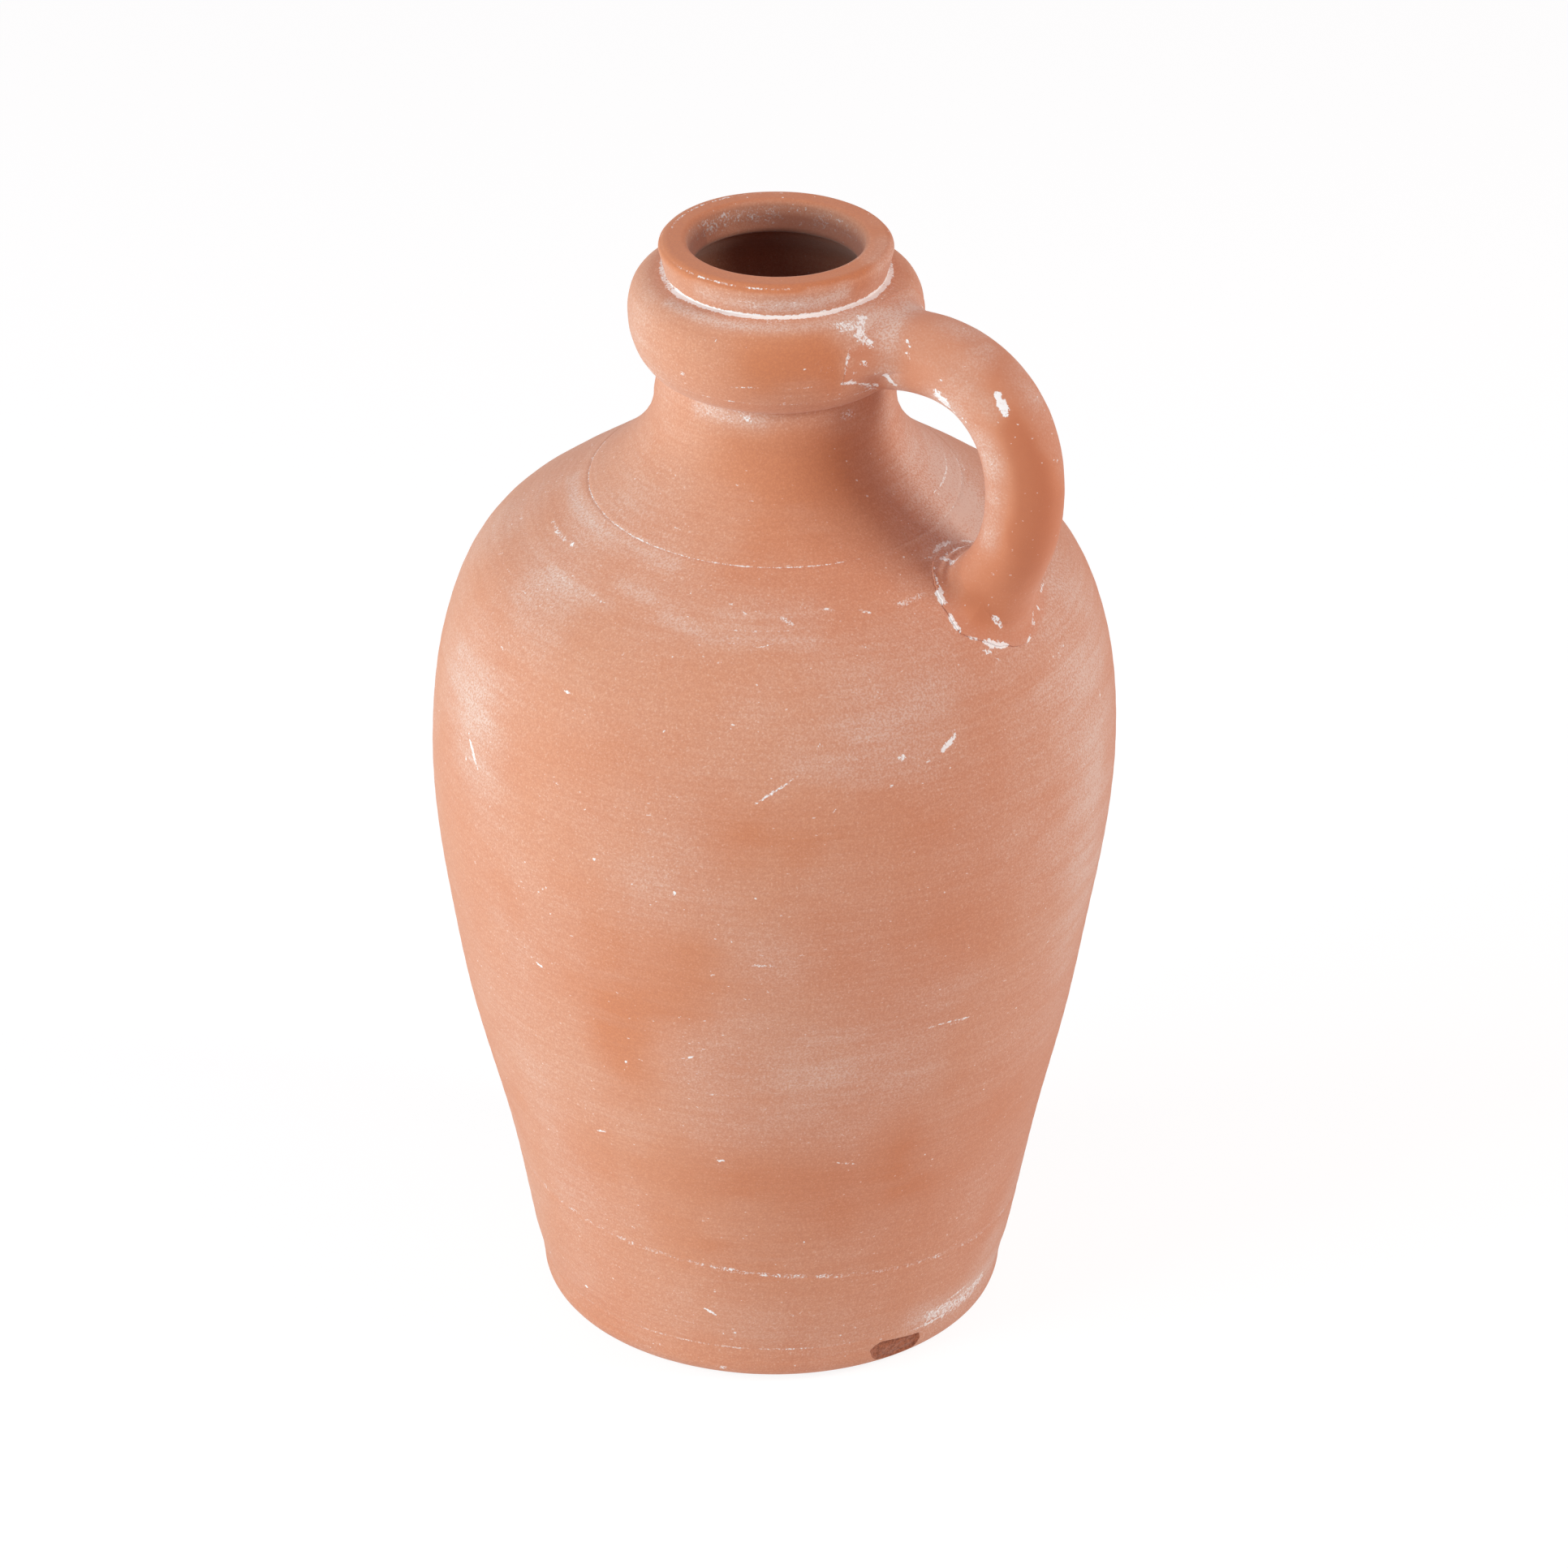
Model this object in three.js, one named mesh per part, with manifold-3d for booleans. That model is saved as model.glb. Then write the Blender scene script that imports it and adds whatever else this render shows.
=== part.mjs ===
import * as THREE from "three";
import { mergeVertices } from "three/addons/utils/BufferGeometryUtils.js";
import Module from "manifold-3d";

const wasm = await Module();
wasm.setup();

// Terracotta jug, millimetres, +Z up, underside on Z = 0, axis on the origin, handle towards +X.
// The clay pieces are listed from the floor up and every height is stacked on the one below.

// Slip between two luted pieces, and the facets round the pot.
const SLIP_GAP = 0.3;
const SEGMENTS = 44;

// Thrown wall thickness.
const WALL_THICKNESS = 8;

// Base disc: its edge is rounded from the underside right up to the wall.
const FOOT_RADIUS = 74.4;
const BASE_THICKNESS = 9;

// Lower wall, from the base disc out to the widest part.
const LOWER_WALL_HEIGHT = 187.8;
const BELLY_RADIUS = 108.4;
const FOOT_FLARE = 0.18;
const SCORED_RING_HEIGHT = 31;
const SCORED_RING_WIDTH = 3;
const SCORED_RING_DEPTH = 0.7;

// Shoulder wall, from the widest part in to where the shoulder is straightest.
const SHOULDER_HEIGHT = 78.2;
const SHOULDER_INSET_DEPTH = 29.7;
const SHOULDER_SLOPE = 37.8;

// Neck ring: a sweep from the shoulder into a short neck.
const SWEEP_HEIGHT = 43.1;
const NECK_RADIUS = 37.5;
const NECK_HEIGHT = 9.4;
const NECK_TOP_RADIUS = 36.2;
const NECK_SEAM_RATIO = 0.42;

// Collar: a hollow bulging band.
const COLLAR_HEIGHT = 31.7;
const COLLAR_RADIUS = 45.7;
const COLLAR_WALL_THICKNESS = 9;
const COLLAR_ROOF_THICKNESS = 4;

// Lip ring.
const LIP_HEIGHT = 10.8;
const LIP_RADIUS = 36.2;
const LIP_FOOT_RADIUS = 34.2;
const LIP_ROUND = 2.9;
const MOUTH_RADIUS = 27.3;

// Pulled handle: how far its centre line stays inside the widest part, its section, taper, and angles
// in degrees.
const HANDLE_INSET_DEPTH = 16.8;
const HANDLE_WIDTH = 23.6;
const HANDLE_THICKNESS = 23.6;
const HANDLE_TAPER = 0.06;
const HANDLE_RISE_ANGLE = 9.8;
const HANDLE_FOOT_ANGLE = 66.8;
const HANDLE_FOOT_RATIO = 0.91;
const HANDLE_DROP_HEIGHT = 2.3;
const HANDLE_SWAY = 2.5;
const LANDING_FLARE = 0.24;
const ROOT_DEPTH = 9;

// Clay wads round the two roots: how thick they are in the middle, and how far they spread past the
// handle across and along the surface.
const UPPER_PAD_THICKNESS = 3.6;
const UPPER_PAD_SIDE_WIDTH = 10.9;
const UPPER_PAD_END_WIDTH = 2.8;
const LOWER_PAD_THICKNESS = 5;
const LOWER_PAD_SIDE_WIDTH = 9.7;
const LOWER_PAD_END_WIDTH = 3.8;

// Heights that follow from the stack.
const bellyHeight = BASE_THICKNESS + LOWER_WALL_HEIGHT;
const shoulderHeight = bellyHeight + SHOULDER_HEIGHT;
const neckHeight = shoulderHeight + SWEEP_HEIGHT;
const collarHeight = neckHeight + NECK_HEIGHT;
const bulgeHeight = collarHeight + 0.58 * COLLAR_HEIGHT;
const lipHeight = collarHeight + COLLAR_HEIGHT;
const topHeight = lipHeight + LIP_HEIGHT;
const mouthWall = LIP_FOOT_RADIUS - MOUTH_RADIUS;

const radians = THREE.MathUtils.degToRad;
const at = (r, z) => new THREE.Vector2(r, z);
const direction = (degrees) => at(Math.cos(radians(degrees)), Math.sin(radians(degrees)));
const bezier = (a, b, c, d) => new THREE.CubicBezierCurve(a, b, c, d);

function sample(curve, from, to, steps) {
  const points = [];
  for (let i = 0; i <= steps; i += 1) {
    points.push(curve.getPoint(from + ((to - from) * i) / steps));
  }
  return points;
}

// Outward normal of a profile that runs up the outside of the pot.
function outward(a, b) {
  const run = b.clone().sub(a).normalize();
  return at(run.y, -run.x);
}

// Profile moved sideways by a distance, corners kept sharp.
function offset(points, distance) {
  return points.map((point, i) => {
    const before = outward(points[Math.max(i - 1, 0)], points[Math.max(i, 1)]);
    const after = outward(points[Math.min(i, points.length - 2)], points[Math.min(i + 1, points.length - 1)]);
    const mitre = before.clone().add(after).divideScalar(1 + before.dot(after));
    return point.clone().addScaledVector(mitre, distance);
  });
}

// Luted rim: a flat edge with a V in its middle. The lower piece has the groove, and the upper piece,
// lifted by the slip, has the tongue that sits in it. Points run from the outside to the inside.
function rim(outer, inner, up, lift) {
  const middle = outer.clone().lerp(inner, 0.5);
  const depth = 0.28 * outer.distanceTo(inner);
  const points = [outer, outer.clone().lerp(inner, 0.25), middle.addScaledVector(up, -depth)];
  points.push(outer.clone().lerp(inner, 0.75), inner);
  return points.map((point) => point.clone().addScaledVector(up, lift));
}

// Ring of clay between two rims. The outside runs up, the inside is given running up as well.
function ring(outside, topRim, inside, bottomRim) {
  const up = outside.slice(1, -1);
  const down = inside.slice(1, -1).reverse();
  const loop = [...up, ...topRim, ...down, ...bottomRim.slice().reverse()];
  loop.push(loop[0].clone());
  return revolve(loop);
}

function revolve(points) {
  const turned = new THREE.LatheGeometry(points, SEGMENTS);
  turned.rotateX(Math.PI / 2);
  return turned;
}

function solid(geometry) {
  const bare = new THREE.BufferGeometry();
  bare.setAttribute("position", geometry.getAttribute("position").clone());
  bare.setIndex(geometry.getIndex());
  const welded = mergeVertices(bare, 1e-4);
  const corners = welded.getIndex().array;
  const faces = [];
  for (let i = 0; i < corners.length; i += 3) {
    const [a, b, c] = [corners[i], corners[i + 1], corners[i + 2]];
    if (a !== b && b !== c && c !== a) {
      faces.push(a, b, c);
    }
  }
  const vertProperties = new Float32Array(welded.getAttribute("position").array);
  const triVerts = new Uint32Array(faces);
  return new wasm.Manifold(new wasm.Mesh({ numProp: 3, vertProperties, triVerts }));
}

function geometryOf(shape) {
  const mesh = shape.getMesh();
  const geometry = new THREE.BufferGeometry();
  geometry.setAttribute("position", new THREE.BufferAttribute(mesh.vertProperties, 3));
  geometry.setIndex(new THREE.BufferAttribute(mesh.triVerts, 1));
  geometry.computeVertexNormals();
  return geometry;
}

const jug = new THREE.Group();
jug.name = "terracotta_jug";

function add(name, geometry, colour) {
  const material = new THREE.MeshStandardMaterial({ color: colour, roughness: 0.9, metalness: 0 });
  const piece = new THREE.Mesh(geometry, material);
  piece.name = name;
  jug.add(piece);
}

const upright = at(0, 1);

// Base disc: flat underside, quarter-round edge, V groove where the wall stands.
const footSeat = [at(FOOT_RADIUS, BASE_THICKNESS), at(FOOT_RADIUS - WALL_THICKNESS, BASE_THICKNESS)];
const footEdge = new THREE.EllipseCurve(
  FOOT_RADIUS - BASE_THICKNESS,
  BASE_THICKNESS,
  BASE_THICKNESS,
  BASE_THICKNESS,
  -Math.PI / 2,
  0,
);
add(
  "base_disc",
  revolve([
    at(0, 0),
    ...footEdge.getPoints(4).slice(0, -1),
    ...rim(...footSeat, upright, 0),
    at(0, BASE_THICKNESS),
  ]),
  0xc27a55,
);

// Lower wall: flares slowly off the base disc and turns upright at the widest part.
const lowerCurve = bezier(
  at(FOOT_RADIUS, BASE_THICKNESS),
  at(FOOT_RADIUS + 0.345 * LOWER_WALL_HEIGHT * FOOT_FLARE, BASE_THICKNESS + 0.345 * LOWER_WALL_HEIGHT),
  at(BELLY_RADIUS, bellyHeight - 0.25 * LOWER_WALL_HEIGHT),
  at(BELLY_RADIUS, bellyHeight),
);
const ringPace = 3 * 0.345 * LOWER_WALL_HEIGHT;
const scoredRing = sample(
  lowerCurve,
  (SCORED_RING_HEIGHT - 0.5 * SCORED_RING_WIDTH) / ringPace,
  (SCORED_RING_HEIGHT + 0.5 * SCORED_RING_WIDTH) / ringPace,
  2,
);
scoredRing[1].x -= SCORED_RING_DEPTH;
const lowerOutside = [
  lowerCurve.getPoint(0),
  ...scoredRing,
  ...sample(lowerCurve, 0.32, 1, 6),
];
const lowerInside = offset(sample(lowerCurve, 0, 1, 5), -WALL_THICKNESS);
const bellySeat = [at(BELLY_RADIUS, bellyHeight), at(BELLY_RADIUS - WALL_THICKNESS, bellyHeight)];
add(
  "lower_wall",
  ring(
    lowerOutside,
    rim(...bellySeat, upright, 0),
    lowerInside,
    rim(...footSeat, upright, SLIP_GAP),
  ),
  0xc97f58,
);

// Shoulder wall: rolls in from the widest part to the straight of the shoulder, then starts the sweep.
const downSlope = direction(-SHOULDER_SLOPE);
const shoulderPoint = at(BELLY_RADIUS - SHOULDER_INSET_DEPTH, shoulderHeight);
const shoulderCurve = bezier(
  at(BELLY_RADIUS, bellyHeight),
  at(BELLY_RADIUS, bellyHeight + 0.793 * SHOULDER_HEIGHT),
  shoulderPoint.clone().addScaledVector(downSlope, 0.143 * SHOULDER_HEIGHT),
  shoulderPoint,
);
const sweepCurve = bezier(
  shoulderPoint,
  shoulderPoint.clone().addScaledVector(downSlope, -0.422 * SWEEP_HEIGHT),
  at(NECK_RADIUS, neckHeight - 0.44 * SWEEP_HEIGHT),
  at(NECK_RADIUS, neckHeight),
);
const shoulderOutside = [
  ...sample(shoulderCurve, 0, 1, 8),
  ...sample(sweepCurve, 0, NECK_SEAM_RATIO, 2).slice(1),
];
const shoulderInside = offset(
  [...sample(shoulderCurve, 0, 1, 6), sweepCurve.getPoint(NECK_SEAM_RATIO)],
  -WALL_THICKNESS,
);
const seamTangent = sweepCurve.getTangent(NECK_SEAM_RATIO);
const seamOuter = sweepCurve.getPoint(NECK_SEAM_RATIO);
const seamInner = seamOuter.clone().addScaledVector(at(seamTangent.y, -seamTangent.x), -WALL_THICKNESS);
const neckSeat = [seamOuter, seamInner];
add(
  "shoulder_wall",
  ring(
    shoulderOutside,
    rim(...neckSeat, seamTangent, 0),
    shoulderInside,
    rim(...bellySeat, upright, SLIP_GAP),
  ),
  0xcd845e,
);

// Neck ring: the rest of the sweep and a short neck that narrows a little under the collar.
const neckOutside = [
  ...sample(sweepCurve, NECK_SEAM_RATIO, 1, 6),
  at(NECK_TOP_RADIUS, collarHeight),
];
const neckInside = offset(
  [...sample(sweepCurve, NECK_SEAM_RATIO, 1, 4), at(NECK_TOP_RADIUS, collarHeight)],
  -WALL_THICKNESS,
);
const collarSeat = [at(NECK_TOP_RADIUS, collarHeight), at(NECK_TOP_RADIUS - WALL_THICKNESS, collarHeight)];
add(
  "neck_ring",
  ring(
    neckOutside,
    rim(...collarSeat, upright, 0),
    neckInside,
    rim(...neckSeat, seamTangent, SLIP_GAP),
  ),
  0xc67c56,
);

// Collar: bulges out over the neck and rolls in to the foot of the lip. It is hollow inside, under a
// thin roof that carries the lip.
const collarLower = bezier(
  at(NECK_TOP_RADIUS, collarHeight),
  at(NECK_TOP_RADIUS + 0.15 * COLLAR_HEIGHT, collarHeight + 0.045 * COLLAR_HEIGHT),
  at(COLLAR_RADIUS, bulgeHeight - 0.28 * COLLAR_HEIGHT),
  at(COLLAR_RADIUS, bulgeHeight),
);
const collarUpper = bezier(
  at(COLLAR_RADIUS, bulgeHeight),
  at(COLLAR_RADIUS, bulgeHeight + 0.326 * COLLAR_HEIGHT),
  at(LIP_FOOT_RADIUS + 0.55 * (COLLAR_RADIUS - LIP_FOOT_RADIUS), lipHeight),
  at(LIP_FOOT_RADIUS, lipHeight),
);
const collarOutside = [...sample(collarLower, 0, 1, 5), ...sample(collarUpper, 0, 1, 5).slice(1)];
const hollow = new THREE.SplineCurve([
  at(NECK_TOP_RADIUS - WALL_THICKNESS, collarHeight),
  at(COLLAR_RADIUS - COLLAR_WALL_THICKNESS, bulgeHeight - 0.2 * COLLAR_HEIGHT),
  at(COLLAR_RADIUS - COLLAR_WALL_THICKNESS, bulgeHeight + 0.1 * COLLAR_HEIGHT),
  at(MOUTH_RADIUS, lipHeight - COLLAR_ROOF_THICKNESS),
]);
const collarInside = [...hollow.getPoints(6), at(MOUTH_RADIUS, lipHeight)];
const lipSeat = [at(LIP_FOOT_RADIUS, lipHeight), at(MOUTH_RADIUS, lipHeight)];
add(
  "collar",
  ring(
    collarOutside,
    rim(...lipSeat, upright, 0),
    collarInside,
    rim(...collarSeat, upright, SLIP_GAP),
  ),
  0xc87d57,
);

// Lip ring: leans out a little, with a rounded outer edge and a smaller round into the mouth.
const lipTop = [
  ...new THREE.EllipseCurve(
    LIP_RADIUS - LIP_ROUND, topHeight - LIP_ROUND, LIP_ROUND, LIP_ROUND, 0, Math.PI / 2,
  ).getPoints(4),
  ...new THREE.EllipseCurve(
    MOUTH_RADIUS + 0.3 * mouthWall,
    topHeight - 0.3 * mouthWall,
    0.3 * mouthWall,
    0.3 * mouthWall,
    Math.PI / 2,
    Math.PI,
  ).getPoints(3),
];
const lipLoop = [...rim(...lipSeat, upright, SLIP_GAP).reverse(), ...lipTop];
lipLoop.push(lipLoop[0].clone());
add("lip_ring", revolve(lipLoop), 0xd0875f);

// Outside of the whole pot above the widest part, grown by the slip: the handle and its wads are cut
// to this surface.
const skin = [
  at(BELLY_RADIUS, BASE_THICKNESS),
  ...shoulderOutside,
  ...neckOutside.slice(1),
  ...collarOutside,
  ...lipTop.slice(0, 5),
];
const grown = offset(skin, SLIP_GAP);
const bodySkin = solid(revolve([at(0, grown[0].y), ...grown, at(0, grown.at(-1).y)]));

// Handle: leaves the collar rising slightly, turns down at its furthest reach and lands on the shoulder.
const upperRoot = at(COLLAR_RADIUS, bulgeHeight - HANDLE_DROP_HEIGHT);
const lowerRoot = shoulderCurve.getPoint(HANDLE_FOOT_RATIO);
const leaving = direction(HANDLE_RISE_ANGLE);
const landing = direction(HANDLE_FOOT_ANGLE);
const handleReach = BELLY_RADIUS - HANDLE_INSET_DEPTH;
const rootDrop = upperRoot.y - lowerRoot.y;
const bend = at(handleReach, lowerRoot.y + 0.46 * rootDrop);
const handleUpper = bezier(
  upperRoot,
  upperRoot.clone().addScaledVector(leaving, 0.64 * (handleReach - COLLAR_RADIUS)),
  at(handleReach, bend.y + 0.36 * rootDrop),
  bend,
);
const handleLower = bezier(
  bend,
  at(handleReach, bend.y - 0.23 * rootDrop),
  lowerRoot.clone().addScaledVector(landing, 0.16 * rootDrop),
  lowerRoot,
);
const handleLine = [
  upperRoot.clone().addScaledVector(leaving, -ROOT_DEPTH),
  ...sample(handleUpper, 0, 1, 10),
  ...sample(handleLower, 0, 1, 9).slice(1),
  lowerRoot.clone().addScaledVector(landing, -ROOT_DEPTH),
];

// Solid through rounded sections set square to the centre line, closed at both ends.
function pulled(extra) {
  const around = 20;
  const last = handleLine.length - 1;
  const positions = [];
  const faces = [];
  handleLine.forEach((point, i) => {
    const along = i / last;
    const before = handleLine[Math.max(i - 1, 0)];
    const after = handleLine[Math.min(i + 1, last)];
    const across = outward(before, after);
    const turn = radians(HANDLE_SWAY) * (1 - 2 * along);
    const radial = new THREE.Vector3(Math.cos(turn), Math.sin(turn), 0);
    const side = new THREE.Vector3(-Math.sin(turn), Math.cos(turn), 0);
    const flare = LANDING_FLARE * Math.max(0, 3.4 * along - 2.4) ** 2;
    const swell = 1 + HANDLE_TAPER * (1 - 2 * along) + flare;
    for (let k = 0; k < around; k += 1) {
      const angle = (2 * Math.PI * k) / around;
      const thick = Math.cos(angle) * (0.5 * HANDLE_THICKNESS * swell + extra);
      const wide = Math.sin(angle) * (0.5 * HANDLE_WIDTH * swell + extra);
      const flat = point.clone().addScaledVector(across, thick);
      const corner = radial.clone().multiplyScalar(flat.x).addScaledVector(side, wide);
      positions.push(corner.x, corner.y, flat.y);
    }
  });
  for (let i = 0; i < last; i += 1) {
    for (let k = 0; k < around; k += 1) {
      const a = i * around + k;
      const b = i * around + ((k + 1) % around);
      faces.push(a, b, a + around, b, b + around, a + around);
    }
  }
  for (let k = 1; k < around - 1; k += 1) {
    faces.push(0, k + 1, k);
    faces.push(last * around, last * around + k, last * around + k + 1);
  }
  const geometry = new THREE.BufferGeometry();
  geometry.setAttribute("position", new THREE.Float32BufferAttribute(positions, 3));
  geometry.setIndex(faces);
  return solid(geometry);
}

add("handle", geometryOf(pulled(0).subtract(bodySkin)), 0xcb815b);

// Root wads: low domes of clay laid on the outside of the pot and worked round the ends of the handle.
const meridian = new THREE.Path(skin);

function arcLengthTo(root) {
  const reach = meridian.getLength();
  const steps = 2000;
  let best = 0;
  for (let i = 1; i <= steps; i += 1) {
    const gain = meridian.getPointAt(i / steps).distanceTo(root);
    if (gain < meridian.getPointAt(best / steps).distanceTo(root)) {
      best = i;
    }
  }
  return (reach * best) / steps;
}

function wad(root, turn, thickness, sideways, lengthways) {
  const rings = 5;
  const around = 28;
  const start = arcLengthTo(root);
  const positions = [];
  const faces = [];
  const lay = (share, angle, lift) => {
    const along = (start + lengthways * share * Math.sin(angle)) / meridian.getLength();
    const foot = meridian.getPointAt(along);
    const tangent = meridian.getTangentAt(along);
    const spot = foot.clone().addScaledVector(at(tangent.y, -tangent.x), lift);
    const bearing = turn + (sideways * share * Math.cos(angle)) / foot.x;
    positions.push(spot.x * Math.cos(bearing), spot.x * Math.sin(bearing), spot.y);
  };
  lay(0, 0, thickness);
  for (let i = 1; i <= rings + 1; i += 1) {
    const share = Math.min(i / rings, 1);
    const lift = i > rings ? -0.5 * thickness : thickness * (1 - share * share);
    for (let k = 0; k < around; k += 1) {
      lay(share, (2 * Math.PI * k) / around, lift);
    }
  }
  lay(0, 0, -2 * thickness);
  const bottom = positions.length / 3 - 1;
  for (let k = 0; k < around; k += 1) {
    const next = (k + 1) % around;
    faces.push(0, 1 + k, 1 + next);
    for (let i = 0; i < rings; i += 1) {
      const a = 1 + i * around;
      faces.push(a + k, a + around + k, a + next, a + next, a + around + k, a + around + next);
    }
    faces.push(bottom, 1 + rings * around + next, 1 + rings * around + k);
  }
  const geometry = new THREE.BufferGeometry();
  geometry.setAttribute("position", new THREE.Float32BufferAttribute(positions, 3));
  geometry.setIndex(faces);
  return geometryOf(solid(geometry).subtract(bodySkin).subtract(pulled(SLIP_GAP)));
}

const upperSwell = 0.5 * (1 + HANDLE_TAPER);
const lowerSwell = 0.5 * (1 - HANDLE_TAPER + LANDING_FLARE);
add(
  "upper_root_pad",
  wad(
    upperRoot,
    radians(HANDLE_SWAY),
    UPPER_PAD_THICKNESS,
    upperSwell * HANDLE_WIDTH + UPPER_PAD_SIDE_WIDTH,
    upperSwell * HANDLE_THICKNESS + UPPER_PAD_END_WIDTH,
  ),
  0xbf7650,
);
add(
  "lower_root_pad",
  wad(
    lowerRoot,
    -radians(HANDLE_SWAY),
    LOWER_PAD_THICKNESS,
    lowerSwell * HANDLE_WIDTH + LOWER_PAD_SIDE_WIDTH,
    lowerSwell * HANDLE_THICKNESS + LOWER_PAD_END_WIDTH,
  ),
  0xc07752,
);

export default jug;
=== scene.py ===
import math
from functools import partial
from types import SimpleNamespace
import bmesh
import bpy
import numpy as np
from mathutils import Matrix, Vector, noise


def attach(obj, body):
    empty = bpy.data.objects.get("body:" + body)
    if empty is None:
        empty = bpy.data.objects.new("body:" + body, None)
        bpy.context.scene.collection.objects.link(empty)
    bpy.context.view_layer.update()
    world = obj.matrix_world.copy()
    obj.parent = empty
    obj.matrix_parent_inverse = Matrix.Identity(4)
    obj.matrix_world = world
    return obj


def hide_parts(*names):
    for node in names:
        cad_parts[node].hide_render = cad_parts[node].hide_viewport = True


# Terracotta jug. Lengths are millimetres until they go into a mesh, azimuths are degrees from +X
# towards +Y, and the handle stands at azimuth 0.

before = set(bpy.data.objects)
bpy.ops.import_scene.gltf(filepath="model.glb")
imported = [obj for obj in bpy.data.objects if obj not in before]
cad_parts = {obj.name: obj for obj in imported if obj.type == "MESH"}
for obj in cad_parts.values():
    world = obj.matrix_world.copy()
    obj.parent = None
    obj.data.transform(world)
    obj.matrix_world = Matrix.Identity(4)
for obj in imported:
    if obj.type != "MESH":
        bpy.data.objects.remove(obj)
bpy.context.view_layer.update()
mm = 0.001
# inside is painted shade for the jug's inner walls
painted = ("limewash", "haze", "scar", "inside")  # values that the meshes carry for the materials


def linear(hexColour):
    parts = [int(hexColour[i:i + 2], 16) / 255 for i in (1, 3, 5)]
    return [c / 12.92 if c <= 0.04045 else ((c + 0.055) / 1.055) ** 2.4 for c in parts] + [1.0]


# inputs by name or in order: sockets are linked, the rest are set; gives the named output or the first in use
def addNode(tree, kind, inputs=(), output=None, **settings):
    node = tree.nodes.new("ShaderNode" + kind)
    for name, value in settings.items():
        setattr(node, name, value)
    for key, value in inputs.items() if isinstance(inputs, dict) else enumerate(inputs):
        if isinstance(value, bpy.types.NodeSocket):
            tree.links.new(value, node.inputs[key])
        else:
            node.inputs[key].default_value = value
    return node.outputs[output] if output else next((o for o in node.outputs if o.enabled), None)


# Unglazed red earthenware, turned on a wheel and wiped, then fired. It gives the eye a dry matt skin:
# sandy grain, soft orange and pink blushes from the kiln, and wiped streaks that run round the pot.
# Old limewash is left in hollows as a chalky crust and over the swell as a thin pale film.
thrownClay = {
    "name": "terracotta_thrown_and_wiped",
    "clay": "#d18862", "blush": "#d3906c", "ember": "#cb7a4c", "grit": "#b26547",
    "film": "#dec2b4", "lime": "#f6f1ee", "sheenTint": "#f6e3da",
    # insideShadeTone is painted shade: the dark brown laid over the jug's inner walls, where little light gets
    # in
    "scar": "#b06a4b", "scarDark": "#84492f", "insideShadeTone": "#6e2f1e",
    # patterns: size round the pot, size up it, detail, roughness
    "patterns": {
        "mottle": (62.0, 62.0, 2.0, 0.5),
        "blushes": (24.0, 24.0, 3.0, 0.55),
        "streak": (30.0, 1.1, 4.0, 0.6),
        "patch": (30.0, 30.0, 2.0, 0.5),
        "cloud": (34.0, 7.0, 4.0, 0.55),
        "grain": (0.62, 0.62, 2.0, 0.6),  # real grit is about 0.3, drawn coarser so that it shows
        "speck": (1.5, 0.9, 1.0, 0.4),
        "crumb": (0.7, 0.7, 3.0, 0.6),
    },
    "patternShift": (3.7, 1.9, 5.3),  # gives each pattern its own part of the noise
    # shares: a pattern or a painted value, where the share starts and ends, its two ends
    "shares": {
        "mottled": ("mottle", 0.34, 0.66, 0.0, 1.0),
        "blushed": ("blushes", 0.52, 0.80, 0.0, 0.45),
        # rubbed: clay where the haze goes below zero; some of those marks are painted shadow
        "rubbed": ("haze", -0.02, -0.22, 0.0, 0.85),
        "sandy": ("grain", 0.62, 0.40, 0.0, 0.26),
        "gritty": ("speck", 0.60, 0.36, 0.0, 0.13),
        "combed": ("streak", 0.60, 0.34, 0.0, 0.06),
        "streaky": ("streak", 0.32, 0.70, 0.66, 1.14),
        "patchy": ("patch", 0.36, 0.70, 0.60, 1.50),
        "wiped": ("streak", 0.32, 0.70, 0.85, 1.07),
        "cloudy": ("cloud", 0.34, 0.66, 0.62, 1.28),
        "sanded": ("grain", 0.36, 0.64, 0.50, 1.40),
        "dusty": ("haze", -0.20, 0.05, 0.12, 1.0),
        "powdery": ("grain", 0.58, 0.72, 0.0, 1.0),
        "crumbled": ("crumb", 0.25, 0.75, -0.42, 0.42),
        "covered": ("limewash", 0.02, 0.60, 0.0, 1.0),
        "specked": ("speck", 0.74, 0.80, 0.0, 0.7),
        "speckled": ("patch", 0.36, 0.62, 0.0, 1.0),
        "broken": ("scar", 0.35, 0.65, 0.0, 1.0),
        "rough": ("crumb", 0.35, 0.65, 0.0, 1.0),
    },
    # coats in the order they lie: a share and its tone; the last coat, inside, is painted shade over the inner
    # walls
    "coats": [
        ("mottled", "blush"), ("blushed", "ember"), ("rubbed", "ember"), ("sandy", "grit"), ("gritty", "grit"),
        ("combed", "grit"), ("film", "film"), ("crust", "lime"), ("broken", "raw"), ("inside", "insideShadeTone"),
    ],
    "filmShare": 0.13, "filmMost": 0.85, "powderShare": 0.34, "powderMost": 0.9,
    "crustFrom": 0.30, "crustTo": 0.78,
    "roughness": (0.80, 0.95), "roughFrom": 0.3, "roughTo": 0.8, "roughFilm": 0.3,
    "bumps": {"grain": (0.65, 0.10), "streak": (0.5, 0.04), "crust": (0.6, 0.12)},  # strength, height
    "ior": 1.5, "sheen": 0.22, "sheenRoughness": 0.55,
}

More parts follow.
